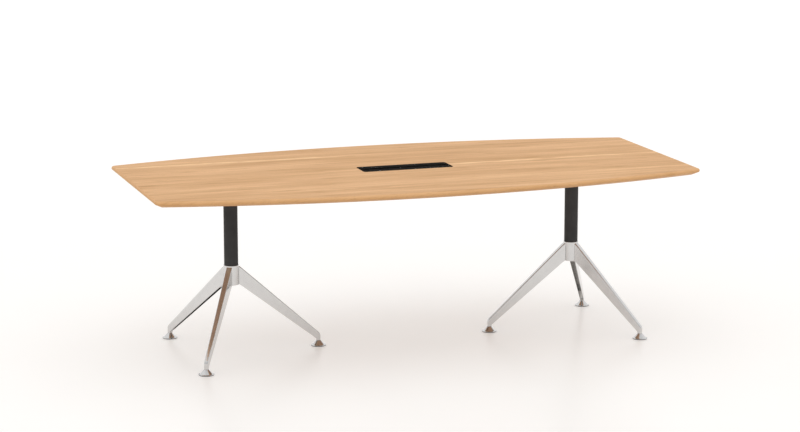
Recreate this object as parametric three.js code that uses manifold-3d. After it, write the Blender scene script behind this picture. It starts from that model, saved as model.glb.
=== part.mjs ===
// Boat-shaped conference table on two three-legged pedestals, with a two-lid cable box let into its top.
// Millimetres, +Z up. The origin is on the floor under the middle of the top; +X runs along the table, -Y is its front.
import * as THREE from "three";
import { mergeVertices } from "three/addons/utils/BufferGeometryUtils.js";
import Module from "manifold-3d";

const wasm = await Module();
wasm.setup();

// Fits
const GAP = 0.3; // between fitted pieces: glue lines, saddles, bolts in their holes
const RUNNING_GAP = 0.2; // round a turning pin
const CUT_OVERRUN = 20; // how far a cutting tool reaches past the piece it cuts

// Table top: a veneered board with solid lippings, bevelled underneath
const TOP_LENGTH = 2400;
const TOP_WIDTH = 1180; // across the middle
const END_WIDTH = 870; // across the straight ends
const TOP_HEIGHT = 762; // floor to top surface, feet screwed in
const TOP_THICKNESS = 29;
const TOP_CORNER = 16; // plan radius of the four corners
const LEAST_CORNER = 2; // plan radius of inner layers, drawn in past that
const EDGE_HEIGHT = 14; // upright part of the edge
const BEVEL_REACH = 31; // how far the bevel runs in under the top
const VENEER = 0.8;
const LIPPING_WIDTH = 45;
const ARC_STEPS = 24; // facets along each curved side
const CORNER_STEPS = 3; // facets round a corner

// Cable box
const BOX_LENGTH = 406; // outside of its rim
const BOX_WIDTH = 120;
const BOX_CORNER = 12; // plan radius of the corners of its rim
const RIM_WIDTH = 13;
const RIM_HEIGHT = 1.5; // above the table top
const SKIRT_WALL = 3;
const SKIRT_DEPTH = 24; // below the table top
const CUTOUT_GAP = 1; // between the skirt and the hole in the board
const LID_THICKNESS = 3;
const LID_SINK = 0.5; // lid top below the rim
const LID_END_GAP = 0.8;
const CABLE_SLOT = 18; // between the two lids
const HINGE_ROD_RADIUS = 2;
const HINGE_BARREL_RADIUS = 3.2;
const HINGE_SIDE_GAP = 0.5; // between the barrel and the skirt
const LEDGE_LENGTH = 4; // rests the ends of the closed lids
const LEDGE_THICKNESS = 2;
const TRAY_DEPTH = 55;
const TRAY_WALL = 1.5;
const EXIT_WIDTH = 60; // cable exit in each end of the tray
const EXIT_HEIGHT = 18;
const EXIT_SILL = 4; // above the underside of the tray
const BRACKET_WIDTH = 40;
const BRACKET_THICKNESS = 2;
const BRACKET_FLANGE = 36; // along the underside of the table top
const BRACKET_DROP = 26; // down the end of the tray
const RAIL_LENGTH = 300; // socket rail on the floor of the tray
const RAIL_WIDTH = 56;
const RAIL_HEIGHT = 34;
const SOCKET_COUNT = 3;
const SOCKET_PITCH = 80;
const SOCKET_RADIUS = 19.5;
const SOCKET_DEPTH = 12;
const INLET_WIDTH = 28;
const INLET_HEIGHT = 20;
const INLET_DEPTH = 14;

// Pedestals
const END_OVERHANG = 420; // each column to the end of the top
const PLATE_SIDE = 300;
const PLATE_THICKNESS = 5;
const PLATE_CORNER = 25;
const PLATE_HOLE_RADIUS = 3.5;
const PLATE_HOLE_INSET = 22; // outer row of holes to the edge of the plate
const COLUMN_RADIUS = 30;
const COLUMN_WALL = 3;
const COLUMN_FOOT = 384; // floor to the joint between column and hub
const PLUG_THICKNESS = 20; // welded into the foot of the column
const HUB_RADIUS = 33;
const HUB_HEIGHT = 85;
const HUB_BORE = 23;
const HUB_WEB = 15; // top web that the column bolt clamps
const HUB_CHAMFER = 1;
const HUB_CAP_THICKNESS = 5;
const HUB_CAP_INSET = 1;
const COLUMN_BOLT_RADIUS = 6;
const COLUMN_BOLT_HEAD_RADIUS = 13;
const COLUMN_BOLT_HEAD = 8;
const COLUMN_BOLT_GRIP = 18; // thread held by the plug

// Legs
const LEG_SPREAD = 120.7; // degrees from the inner leg, which points to the middle, to either other leg
const LEG_REACH = 385; // column axis to foot axis
const LEG_TOP_DROP = 5; // top of the leg below the top of the hub, at the hub
const LEG_ROOT_WIDTH = 25;
const LEG_END_WIDTH = 17;
const LEG_WALL = 2;
const NECK_LENGTH = 16; // upright end of the leg, along the leg
const NECK_FOOT = 23; // floor to the underside of the neck
const NECK_HEIGHT = 7; // inner side of the neck
const SHOULDER_HEIGHT = 30; // outer side of the neck
const SHOULDER_ROUND = 7;
const CHANNEL_START = 62; // hollow under the leg, from the column axis
const CHANNEL_END = 371;
const LEG_BOLT_RADIUS = 5;
const LEG_BOLT_HEAD_RADIUS = 8;
const LEG_BOLT_HEAD = 10;
const LEG_BOLT_BITE = 16; // thread in the root of the leg
const LEG_BOLT_HEIGHT = 38; // above the bottom of the hub

// Levelling feet
const STUD_RADIUS = 4;
const STUD_BITE = 21; // thread in the neck with the foot screwed in
const STUD_SEAT = 10; // floor to the seat of the stud in the bell
const BELL_RIM_RADIUS = 33;
const BELL_RIM_HEIGHT = 1.5;
const BELL_SKIRT_RADIUS = 27;
const BELL_SKIRT_HEIGHT = 4.5; // floor to where the rim meets the cone
const BELL_NECK_RADIUS = 10.5; // top of the cone, under the leg
const SOLE_RADIUS = 32;
const SOLE_THICKNESS = 2.5;

// Facets
const ROUND_SIDES = 32;
const FOOT_SIDES = 24;
const BOLT_SIDES = 16;
const HOLE_SIDES = 12;

// Levels and places that follow from the sizes above
const BOARD_TOP = TOP_HEIGHT - VENEER;
const UNDERSIDE = TOP_HEIGHT - TOP_THICKNESS;
const BOARD_BOTTOM = UNDERSIDE + VENEER;
const ARC_RISE = (TOP_WIDTH - END_WIDTH) / 2;
const ARC_RADIUS = ((TOP_LENGTH / 2) ** 2 + ARC_RISE ** 2) / (2 * ARC_RISE);
const MOUTH_LENGTH = BOX_LENGTH - 2 * RIM_WIDTH;
const MOUTH_WIDTH = BOX_WIDTH - 2 * RIM_WIDTH;
const SKIRT_LENGTH = MOUTH_LENGTH + 2 * SKIRT_WALL;
const SKIRT_WIDTH = MOUTH_WIDTH + 2 * SKIRT_WALL;
const SKIRT_FOOT = TOP_HEIGHT - SKIRT_DEPTH;
const LID_TOP = TOP_HEIGHT + RIM_HEIGHT - LID_SINK;
const LID_BOTTOM = LID_TOP - LID_THICKNESS;
const HINGE_Y = MOUTH_WIDTH / 2 - HINGE_SIDE_GAP - HINGE_BARREL_RADIUS;
const HINGE_Z = LID_TOP - HINGE_BARREL_RADIUS;
const TRAY_FLOOR = SKIRT_FOOT - TRAY_DEPTH + TRAY_WALL;
const PEDESTAL_OFFSET = TOP_LENGTH / 2 - END_OVERHANG;
const LEG_ANGLES = [0, LEG_SPREAD, -LEG_SPREAD];
const PLATE_BOTTOM = UNDERSIDE - PLATE_THICKNESS;
const HUB_FOOT = COLUMN_FOOT - HUB_HEIGHT;
const WEB_BOTTOM = COLUMN_FOOT - HUB_WEB;

const MATERIALS = {
  oak: { color: 0xd9ae82, roughness: 0.45, metalness: 0 },
  board: { color: 0xb08d62, roughness: 0.9, metalness: 0 },
  blackMetal: { color: 0x1c1c1d, roughness: 0.45, metalness: 0.6 },
  blackPaint: { color: 0x2b2b2b, roughness: 0.55, metalness: 0.3 },
  blackPlastic: { color: 0x151515, roughness: 0.6, metalness: 0 },
  polished: { color: 0xdcdad8, roughness: 0.12, metalness: 1 },
  steel: { color: 0x9b9b9b, roughness: 0.4, metalness: 1 },
  rubber: { color: 0x222222, roughness: 0.9, metalness: 0 },
};
for (const [name, looks] of Object.entries(MATERIALS)) {
  MATERIALS[name] = new THREE.MeshStandardMaterial(looks);
}

// Solids: a closed geometry becomes a solid for joins and cuts, and comes back as a geometry

function solidOf(geometry) {
  const bare = geometry.index ? geometry.toNonIndexed() : geometry.clone();
  bare.deleteAttribute("normal");
  bare.deleteAttribute("uv");
  const merged = mergeVertices(bare, 1e-4);
  const corners = [];
  for (let i = 0; i < merged.index.count; i += 3) {
    const [a, b, c] = [0, 1, 2].map((k) => merged.index.getX(i + k));
    if (a !== b && b !== c && c !== a) corners.push(a, b, c);
  }
  const vertProperties = new Float32Array(merged.attributes.position.array);
  return new wasm.Manifold(new wasm.Mesh({ numProp: 3, vertProperties, triVerts: new Uint32Array(corners) }));
}

function geometryOf(solid) {
  const made = solid.getMesh();
  const geometry = new THREE.BufferGeometry();
  geometry.setAttribute("position", new THREE.BufferAttribute(new Float32Array(made.vertProperties), 3));
  geometry.setIndex(new THREE.BufferAttribute(new Uint32Array(made.triVerts), 1));
  const faceted = geometry.toNonIndexed();
  faceted.computeVertexNormals();
  return faceted;
}

function piece(name, solid, material) {
  const mesh = new THREE.Mesh(geometryOf(solid), material);
  mesh.name = name;
  return mesh;
}

function cut(solid, ...tools) {
  return tools.reduce((left, tool) => left.subtract(tool), solid);
}

// An upright prism over a plan outline, from one level to another
function prism(shape, low, high, curveSegments = 8) {
  const geometry = new THREE.ExtrudeGeometry(shape, { depth: high - low, bevelEnabled: false, curveSegments });
  return solidOf(geometry.translate(0, 0, low));
}

// A side outline of (x, z) points, thickened evenly about the plane y = 0
function slab(shape, width, curveSegments = 8) {
  const geometry = new THREE.ExtrudeGeometry(shape, { depth: width, bevelEnabled: false, curveSegments });
  return solidOf(geometry.translate(0, 0, -width / 2).rotateX(Math.PI / 2));
}

// A turned piece: a profile of [radius, height] points about the Z axis
function turned(profile, sides) {
  const points = profile.map(([radius, height]) => new THREE.Vector2(radius, height));
  return solidOf(new THREE.LatheGeometry(points, sides).rotateX(Math.PI / 2));
}

function rod(radius, low, high, sides) {
  return turned([[0, low], [radius, low], [radius, high], [0, high]], sides);
}

function ring(inner, outer, low, high, sides) {
  return turned([[inner, low], [outer, low], [outer, high], [inner, high], [inner, low]], sides);
}

function block(lengthX, widthY, low, high) {
  return prism(rectangle(lengthX, widthY), low, high);
}

function rectangle(lengthX, widthY) {
  const [x, y] = [lengthX / 2, widthY / 2];
  return polygon([[-x, -y], [x, -y], [x, y], [-x, y]]);
}

function roundedRectangle(lengthX, widthY, round) {
  const [x, y] = [lengthX / 2 - round, widthY / 2 - round];
  const outline = new THREE.Shape();
  outline.absarc(x, y, round, 0, Math.PI / 2, false);
  outline.absarc(-x, y, round, Math.PI / 2, Math.PI, false);
  outline.absarc(-x, -y, round, Math.PI, 1.5 * Math.PI, false);
  outline.absarc(x, -y, round, 1.5 * Math.PI, 2 * Math.PI, false);
  return outline;
}

function polygon(points) {
  return new THREE.Shape(points.map(([x, y]) => new THREE.Vector2(x, y)));
}

// Table top

// Half the width of the top at a distance x from its middle, drawn in by an inset
function halfWidth(x, inset) {
  return TOP_WIDTH / 2 - ARC_RADIUS + Math.sqrt((ARC_RADIUS - inset) ** 2 - x * x);
}

// Plan of the top drawn in by an inset: two arcs and two straight ends with rounded corners, counter-clockwise
function topOutline(inset) {
  const round = Math.max(TOP_CORNER - inset, LEAST_CORNER);
  const cornerX = TOP_LENGTH / 2 - inset - round;
  const cornerY = halfWidth(cornerX, inset + round);
  const sweep = Math.acos(cornerX / (ARC_RADIUS - inset - round)); // from the curved side round to the end
  const meetX = cornerX + round * Math.cos(sweep);
  const half = [];
  for (let i = 0; i < ARC_STEPS; i += 1) {
    const x = meetX * ((2 * i) / ARC_STEPS - 1);
    half.push(new THREE.Vector2(x, -halfWidth(x, inset)));
  }
  for (const [side, from, to] of [[-1, -sweep, 0], [1, 0, sweep]]) {
    const last = side < 0 ? CORNER_STEPS : CORNER_STEPS - 1;
    for (let i = 0; i <= last; i += 1) {
      const angle = THREE.MathUtils.lerp(from, to, i / CORNER_STEPS);
      half.push(new THREE.Vector2(cornerX + round * Math.cos(angle), side * cornerY + round * Math.sin(angle)));
    }
  }
  return [...half, ...half.map((point) => new THREE.Vector2(-point.x, -point.y))];
}

// A closed skin through plan outlines of equal counts, stacked at rising levels
function stacked(levels) {
  const count = levels[0].outline.length;
  const position = levels.flatMap(({ outline, z }) => outline.flatMap((point) => [point.x, point.y, z]));
  const cap = THREE.ShapeUtils.triangulateShape(levels[0].outline, []);
  const last = (levels.length - 1) * count;
  const index = cap.flatMap(([a, b, c]) => [a, c, b, last + a, last + b, last + c]);
  for (let level = 0; level + 1 < levels.length; level += 1) {
    for (let i = 0; i < count; i += 1) {
      const [a, b] = [level * count + i, level * count + ((i + 1) % count)];
      index.push(a, b, b + count, a, b + count, a + count);
    }
  }
  const geometry = new THREE.BufferGeometry();
  geometry.setAttribute("position", new THREE.Float32BufferAttribute(position, 3));
  geometry.setIndex(index);
  return solidOf(geometry);
}

function boxCutout(low, high) {
  return block(SKIRT_LENGTH + 2 * CUTOUT_GAP, SKIRT_WIDTH + 2 * CUTOUT_GAP, low, high);
}

// The mitred plan of an end lipping, reaching past the end of the top
function endLippingPlan(grow) {
  const inner = TOP_LENGTH / 2 - LIPPING_WIDTH;
  const [outerY, innerY] = [END_WIDTH / 2 + grow, halfWidth(inner, LIPPING_WIDTH) + grow];
  const past = TOP_LENGTH / 2 + CUT_OVERRUN;
  return polygon([
    [inner - CUT_OVERRUN, -innerY],
    [inner, -innerY],
    [TOP_LENGTH / 2, -outerY],
    [past, -outerY],
    [past, outerY],
    [TOP_LENGTH / 2, outerY],
    [inner, innerY],
    [inner - CUT_OVERRUN, innerY],
  ]);
}

function lippings() {
  const bevelAtBoard = BEVEL_REACH * (1 - VENEER / (TOP_THICKNESS - EDGE_HEIGHT));
  const bevelled = stacked([
    { outline: topOutline(bevelAtBoard), z: BOARD_BOTTOM },
    { outline: topOutline(0), z: TOP_HEIGHT - EDGE_HEIGHT },
    { outline: topOutline(0), z: BOARD_TOP },
  ]);
  const [low, high] = [BOARD_BOTTOM - CUT_OVERRUN, BOARD_TOP + CUT_OVERRUN];
  const band = cut(bevelled, prism(new THREE.Shape(topOutline(LIPPING_WIDTH - GAP)), low, high));
  const rightTool = prism(endLippingPlan(-GAP / 2), low, high);
  const rightRoom = prism(endLippingPlan(GAP / 2), low, high);
  const sides = cut(band, rightRoom, rightRoom.rotate([0, 0, 180]));
  const rearHalf = block(TOP_LENGTH, TOP_WIDTH, low, high).translate([0, TOP_WIDTH / 2, 0]);
  const right = band.intersect(rightTool);
  const rear = sides.intersect(rearHalf);
  return {
    lipping_right: right,
    lipping_left: right.rotate([0, 0, 180]),
    lipping_rear: rear,
    lipping_front: rear.rotate([0, 0, 180]),
  };
}

function tableTop() {
  const group = new THREE.Group();
  const cutout = boxCutout(UNDERSIDE - CUT_OVERRUN, TOP_HEIGHT + CUT_OVERRUN);
  const layer = (inset, low, high) => cut(prism(new THREE.Shape(topOutline(inset)), low, high), cutout);
  group.add(piece("tabletop_core", layer(LIPPING_WIDTH, BOARD_BOTTOM, BOARD_TOP), MATERIALS.board));
  group.add(piece("top_veneer", layer(0, BOARD_TOP, TOP_HEIGHT), MATERIALS.oak));
  group.add(piece("backing_veneer", layer(BEVEL_REACH, UNDERSIDE, BOARD_BOTTOM), MATERIALS.oak));
  for (const [name, solid] of Object.entries(lippings())) {
    group.add(piece(name, solid, MATERIALS.oak));
  }
  return group;
}

// Cable box

function boxRim() {
  const outline = roundedRectangle(BOX_LENGTH, BOX_WIDTH, BOX_CORNER);
  const flange = prism(outline, TOP_HEIGHT, TOP_HEIGHT + RIM_HEIGHT, CORNER_STEPS);
  const skirt = block(SKIRT_LENGTH, SKIRT_WIDTH, SKIRT_FOOT, TOP_HEIGHT + RIM_HEIGHT);
  const mouth = block(MOUTH_LENGTH, MOUTH_WIDTH, SKIRT_FOOT - CUT_OVERRUN, TOP_HEIGHT + CUT_OVERRUN);
  const ledgeTop = LID_BOTTOM - GAP;
  const ledgeWidth = 2 * (HINGE_Y - HINGE_BARREL_RADIUS - LEDGE_THICKNESS);
  const ledges = cut(
    block(MOUTH_LENGTH + SKIRT_WALL, ledgeWidth, ledgeTop - LEDGE_THICKNESS, ledgeTop),
    block(MOUTH_LENGTH - 2 * LEDGE_LENGTH, MOUTH_WIDTH, SKIRT_FOOT, TOP_HEIGHT),
  );
  const hole = hingeRod(HINGE_ROD_RADIUS + GAP, SKIRT_LENGTH + 2 * CUT_OVERRUN);
  return cut(flange.add(skirt), mouth)
    .add(ledges)
    .subtract(hole.translate([0, HINGE_Y, HINGE_Z]))
    .subtract(hole.translate([0, -HINGE_Y, HINGE_Z]));
}

// A rod along X, centred on the origin
function hingeRod(radius, length) {
  return rod(radius, -length / 2, length / 2, BOLT_SIDES).rotate([0, 90, 0]);
}

// The rear lid: a plate whose outer edge is rolled round the hinge rod
function lid() {
  const dip = HINGE_Z - LID_BOTTOM;
  const section = new THREE.Shape();
  const barrelStart = Math.PI - Math.asin(-dip / HINGE_BARREL_RADIUS);
  section.moveTo(CABLE_SLOT / 2, LID_BOTTOM);
  section.absarc(HINGE_Y, HINGE_Z, HINGE_BARREL_RADIUS, barrelStart, Math.PI / 2 + 2 * Math.PI, false);
  section.lineTo(CABLE_SLOT / 2, LID_TOP);
  section.closePath();
  const length = MOUTH_LENGTH - 2 * LID_END_GAP;
  const bore = hingeRod(HINGE_ROD_RADIUS + RUNNING_GAP, length + CUT_OVERRUN);
  return cut(slab(section, length).rotate([0, 0, 90]).mirror([1, 0, 0]), bore.translate([0, HINGE_Y, HINGE_Z]));
}

function tray() {
  const outside = block(SKIRT_LENGTH, SKIRT_WIDTH, SKIRT_FOOT - TRAY_DEPTH, SKIRT_FOOT);
  const [length, width] = [SKIRT_LENGTH - 2 * TRAY_WALL, SKIRT_WIDTH - 2 * TRAY_WALL];
  const inside = block(length, width, TRAY_FLOOR, SKIRT_FOOT + CUT_OVERRUN);
  const sill = SKIRT_FOOT - TRAY_DEPTH + EXIT_SILL;
  const exits = block(SKIRT_LENGTH + CUT_OVERRUN, EXIT_WIDTH, sill, sill + EXIT_HEIGHT);
  return cut(outside, inside, exits);
}

// The right-hand bracket: one flange down the tray's end, one along the underside of the top
function trayBracket() {
  const near = SKIRT_LENGTH / 2 + GAP;
  const inner = near + BRACKET_THICKNESS;
  const under = UNDERSIDE - BRACKET_THICKNESS;
  const outline = polygon([
    [near, UNDERSIDE - BRACKET_DROP],
    [inner, UNDERSIDE - BRACKET_DROP],
    [inner, under],
    [near + BRACKET_FLANGE, under],
    [near + BRACKET_FLANGE, UNDERSIDE],
    [near, UNDERSIDE],
  ]);
  return slab(outline, BRACKET_WIDTH);
}

function socketRail() {
  const top = TRAY_FLOOR + RAIL_HEIGHT;
  const tools = [];
  for (let i = 0; i < SOCKET_COUNT; i += 1) {
    const x = (i - (SOCKET_COUNT - 1) / 2) * SOCKET_PITCH;
    tools.push(rod(SOCKET_RADIUS, top - SOCKET_DEPTH, top + CUT_OVERRUN, FOOT_SIDES).translate([x, 0, 0]));
  }
  const sill = TRAY_FLOOR + (RAIL_HEIGHT - INLET_HEIGHT) / 2;
  const inlet = block(2 * INLET_DEPTH, INLET_WIDTH, sill, sill + INLET_HEIGHT);
  tools.push(inlet.translate([-RAIL_LENGTH / 2, 0, 0]));
  return cut(block(RAIL_LENGTH, RAIL_WIDTH, TRAY_FLOOR, top), ...tools);
}

function cableBox() {
  const group = new THREE.Group();
  const rearLid = lid();
  const hinge = hingeRod(HINGE_ROD_RADIUS, MOUTH_LENGTH + SKIRT_WALL);
  const bracket = trayBracket();
  group.add(piece("box_rim", boxRim(), MATERIALS.blackMetal));
  group.add(piece("lid_rear", rearLid, MATERIALS.blackMetal));
  group.add(piece("lid_front", rearLid.rotate([0, 0, 180]), MATERIALS.blackMetal));
  group.add(piece("hinge_rod_rear", hinge.translate([0, HINGE_Y, HINGE_Z]), MATERIALS.steel));
  group.add(piece("hinge_rod_front", hinge.translate([0, -HINGE_Y, HINGE_Z]), MATERIALS.steel));
  group.add(piece("box_tray", tray(), MATERIALS.blackPaint));
  group.add(piece("tray_bracket_right", bracket, MATERIALS.steel));
  group.add(piece("tray_bracket_left", bracket.rotate([0, 0, 180]), MATERIALS.steel));
  group.add(piece("socket_rail", socketRail(), MATERIALS.blackPlastic));
  return group;
}

// Pedestals

// Square plate with rounded corners and a ring of eight screw holes
function mountingPlate() {
  const outline = roundedRectangle(PLATE_SIDE, PLATE_SIDE, PLATE_CORNER);
  const row = PLATE_SIDE / 2 - PLATE_HOLE_INSET;
  const plate = prism(outline, PLATE_BOTTOM, UNDERSIDE, CORNER_STEPS);
  const hole = rod(PLATE_HOLE_RADIUS, PLATE_BOTTOM - CUT_OVERRUN, UNDERSIDE + CUT_OVERRUN, HOLE_SIDES);
  const steps = [-1, 0, 1];
  const places = steps.flatMap((i) => steps.map((j) => [i * row, j * row, 0]));
  const outer = places.filter(([x, y]) => x !== 0 || y !== 0);
  return cut(plate, ...outer.map((place) => hole.translate(place)));
}

function legBolt(radius, headRadius, headLength, tip) {
  const seat = Math.sqrt(HUB_BORE ** 2 - LEG_BOLT_HEAD_RADIUS ** 2) - GAP;
  const shank = rod(radius, seat, tip, BOLT_SIDES);
  const head = rod(headRadius, seat - headLength, seat, BOLT_SIDES);
  return shank.add(head).rotate([0, 90, 0]).translate([0, 0, HUB_FOOT + LEG_BOLT_HEIGHT]);
}

function hub() {
  const [side, chamfer] = [HUB_RADIUS, HUB_CHAMFER];
  const boltHole = COLUMN_BOLT_RADIUS + GAP;
  const body = turned(
    [
      [boltHole, WEB_BOTTOM],
      [HUB_BORE, WEB_BOTTOM],
      [HUB_BORE, HUB_FOOT],
      [side - chamfer, HUB_FOOT],
      [side, HUB_FOOT + chamfer],
      [side, COLUMN_FOOT - chamfer],
      [side - chamfer, COLUMN_FOOT],
      [boltHole, COLUMN_FOOT],
      [boltHole, WEB_BOTTOM],
    ],
    ROUND_SIDES,
  );
  const hole = rod(LEG_BOLT_RADIUS + GAP, 0, HUB_RADIUS + CUT_OVERRUN, BOLT_SIDES)
    .rotate([0, 90, 0])
    .translate([0, 0, HUB_FOOT + LEG_BOLT_HEIGHT]);
  return cut(body, ...LEG_ANGLES.map((angle) => hole.rotate([0, 0, angle])));
}

function columnBolt() {
  const tip = COLUMN_FOOT + COLUMN_BOLT_GRIP;
  return turned(
    [
      [0, WEB_BOTTOM - COLUMN_BOLT_HEAD],
      [COLUMN_BOLT_HEAD_RADIUS, WEB_BOTTOM - COLUMN_BOLT_HEAD],
      [COLUMN_BOLT_HEAD_RADIUS, WEB_BOTTOM],
      [COLUMN_BOLT_RADIUS, WEB_BOTTOM],
      [COLUMN_BOLT_RADIUS, tip],
      [0, tip],
    ],
    BOLT_SIDES,
  );
}

// Side outline of a leg from inside the hub to the neck over the foot
function legOutline() {
  const [outer, inner] = [LEG_REACH + NECK_LENGTH / 2, LEG_REACH - NECK_LENGTH / 2];
  const rootTop = COLUMN_FOOT - LEG_TOP_DROP;
  const shoulder = NECK_FOOT + SHOULDER_HEIGHT;
  const slope = (rootTop - shoulder) / (outer - HUB_RADIUS);
  const outline = new THREE.Shape();
  outline.moveTo(0, HUB_FOOT);
  outline.lineTo(HUB_RADIUS, HUB_FOOT);
  outline.lineTo(inner, NECK_FOOT + NECK_HEIGHT);
  outline.lineTo(inner, NECK_FOOT);
  outline.lineTo(outer, NECK_FOOT);
  outline.lineTo(outer, shoulder - SHOULDER_ROUND);
  outline.quadraticCurveTo(outer, shoulder, outer - SHOULDER_ROUND, shoulder + SHOULDER_ROUND * slope);
  outline.lineTo(HUB_RADIUS, rootTop);
  outline.lineTo(0, rootTop);
  outline.closePath();
  return outline;
}

// Width of a leg at a distance from the column axis
function legWidth(reach) {
  return THREE.MathUtils.mapLinear(reach, HUB_RADIUS, LEG_REACH, LEG_ROOT_WIDTH, LEG_END_WIDTH);
}

// Upright wedge that tapers the sides of a leg, drawn in by a wall
function legTaper(from, to, wall) {
  const [near, far] = [legWidth(from) / 2 - wall, legWidth(to) / 2 - wall];
  const plan = polygon([[from, -near], [to, -far], [to, far], [from, near]]);
  return prism(plan, -CUT_OVERRUN, COLUMN_FOOT + CUT_OVERRUN);
}

// Hollow cast under the leg, open downwards, with an even wall under its top
function legChannel() {
  const outer = LEG_REACH + NECK_LENGTH / 2;
  const rootTop = COLUMN_FOOT - LEG_TOP_DROP;
  const slope = (rootTop - NECK_FOOT - SHOULDER_HEIGHT) / (outer - HUB_RADIUS);
  const wall = LEG_WALL * Math.hypot(1, slope);
  const roof = (reach) => rootTop - (reach - HUB_RADIUS) * slope - wall;
  const outline = polygon([
    [CHANNEL_START, 0],
    [CHANNEL_END, 0],
    [CHANNEL_END, roof(CHANNEL_END)],
    [CHANNEL_START, roof(CHANNEL_START)],
  ]);
  return slab(outline, LEG_ROOT_WIDTH).intersect(legTaper(CHANNEL_START, CHANNEL_END, LEG_WALL));
}

function leg() {
  const blank = slab(legOutline(), LEG_ROOT_WIDTH + CUT_OVERRUN, CORNER_STEPS);
  const tapered = blank.intersect(legTaper(0, LEG_REACH + NECK_LENGTH, 0));
  const saddle = rod(HUB_RADIUS + GAP, -CUT_OVERRUN, COLUMN_FOOT + CUT_OVERRUN, ROUND_SIDES);
  const boltTip = HUB_RADIUS + GAP + LEG_BOLT_BITE + GAP;
  const boltHole = legBolt(LEG_BOLT_RADIUS + GAP, LEG_BOLT_HEAD_RADIUS, LEG_BOLT_HEAD, boltTip);
  const studTop = NECK_FOOT + STUD_BITE + GAP;
  const studHole = rod(STUD_RADIUS + GAP, NECK_FOOT - CUT_OVERRUN, studTop, BOLT_SIDES);
  return cut(tapered, saddle, legChannel(), boltHole, studHole.translate([LEG_REACH, 0, 0]));
}

// Levelling feet

function bell() {
  const top = NECK_FOOT - GAP;
  const holeRadius = STUD_RADIUS + RUNNING_GAP;
  const rimTop = SOLE_THICKNESS + BELL_RIM_HEIGHT;
  return turned(
    [
      [0, SOLE_THICKNESS],
      [BELL_RIM_RADIUS, SOLE_THICKNESS],
      [BELL_RIM_RADIUS, rimTop],
      [BELL_SKIRT_RADIUS, BELL_SKIRT_HEIGHT],
      [BELL_NECK_RADIUS, top],
      [holeRadius, top],
      [holeRadius, STUD_SEAT],
      [0, STUD_SEAT],
    ],
    FOOT_SIDES,
  );
}

function foot(name) {
  const group = new THREE.Group();
  const stud = rod(STUD_RADIUS, STUD_SEAT + GAP, NECK_FOOT + STUD_BITE, BOLT_SIDES);
  group.add(piece(`${name}_glide_bell`, bell(), MATERIALS.polished));
  group.add(piece(`${name}_glide_stud`, stud, MATERIALS.steel));
  group.add(piece(`${name}_glide_sole`, rod(SOLE_RADIUS, 0, SOLE_THICKNESS, FOOT_SIDES), MATERIALS.rubber));
  group.position.x = LEG_REACH;
  return group;
}

// One leg with its bolt and its foot, turned to its angle
function legAssembly(name, angle) {
  const group = new THREE.Group();
  const boltTip = HUB_RADIUS + GAP + LEG_BOLT_BITE;
  const bolt = legBolt(LEG_BOLT_RADIUS, LEG_BOLT_HEAD_RADIUS, LEG_BOLT_HEAD, boltTip);
  group.add(piece(`${name}_leg`, leg(), MATERIALS.polished));
  group.add(piece(`${name}_leg_bolt`, bolt, MATERIALS.steel));
  group.add(foot(name));
  group.rotation.z = THREE.MathUtils.degToRad(angle);
  return group;
}

function pedestal(side, legNames) {
  const group = new THREE.Group();
  const plugTop = COLUMN_FOOT + PLUG_THICKNESS;
  const plugRadius = COLUMN_RADIUS - COLUMN_WALL - GAP;
  const capBottom = HUB_FOOT + HUB_CAP_INSET;
  const column = ring(COLUMN_RADIUS - COLUMN_WALL, COLUMN_RADIUS, COLUMN_FOOT, PLATE_BOTTOM, ROUND_SIDES);
  const plug = ring(COLUMN_BOLT_RADIUS + GAP, plugRadius, COLUMN_FOOT, plugTop, ROUND_SIDES);
  const cap = rod(HUB_BORE - GAP, capBottom, capBottom + HUB_CAP_THICKNESS, ROUND_SIDES);
  group.add(piece(`${side}_mounting_plate`, mountingPlate(), MATERIALS.blackPaint));
  group.add(piece(`${side}_column`, column, MATERIALS.blackPaint));
  group.add(piece(`${side}_column_plug`, plug, MATERIALS.steel));
  group.add(piece(`${side}_column_bolt`, columnBolt(), MATERIALS.steel));
  group.add(piece(`${side}_hub`, hub(), MATERIALS.polished));
  group.add(piece(`${side}_hub_cap`, cap, MATERIALS.blackPlastic));
  LEG_ANGLES.forEach((angle, i) => group.add(legAssembly(`${side}_${legNames[i]}`, angle)));
  return group;
}

const table = new THREE.Group();
const leftPedestal = pedestal("left", ["inner", "rear", "front"]);
const rightPedestal = pedestal("right", ["inner", "front", "rear"]);
leftPedestal.position.x = -PEDESTAL_OFFSET;
rightPedestal.position.x = PEDESTAL_OFFSET;
rightPedestal.rotation.z = Math.PI;
table.add(tableTop(), cableBox(), leftPedestal, rightPedestal);

export default table;
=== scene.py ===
"""Looks of a boat-shaped conference table: an oak top, a black cable box and two polished tripod pedestals.

The file is laid out as an add-on and run as a script. Sizes are in metres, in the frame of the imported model:
+Z up, +X along the table, -Y to its front, with the origin on the floor under the middle of the top.
"""

import math

import bmesh
import bpy
from bpy.props import FloatProperty, FloatVectorProperty, IntProperty, PointerProperty
from mathutils import Matrix, Vector


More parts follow.
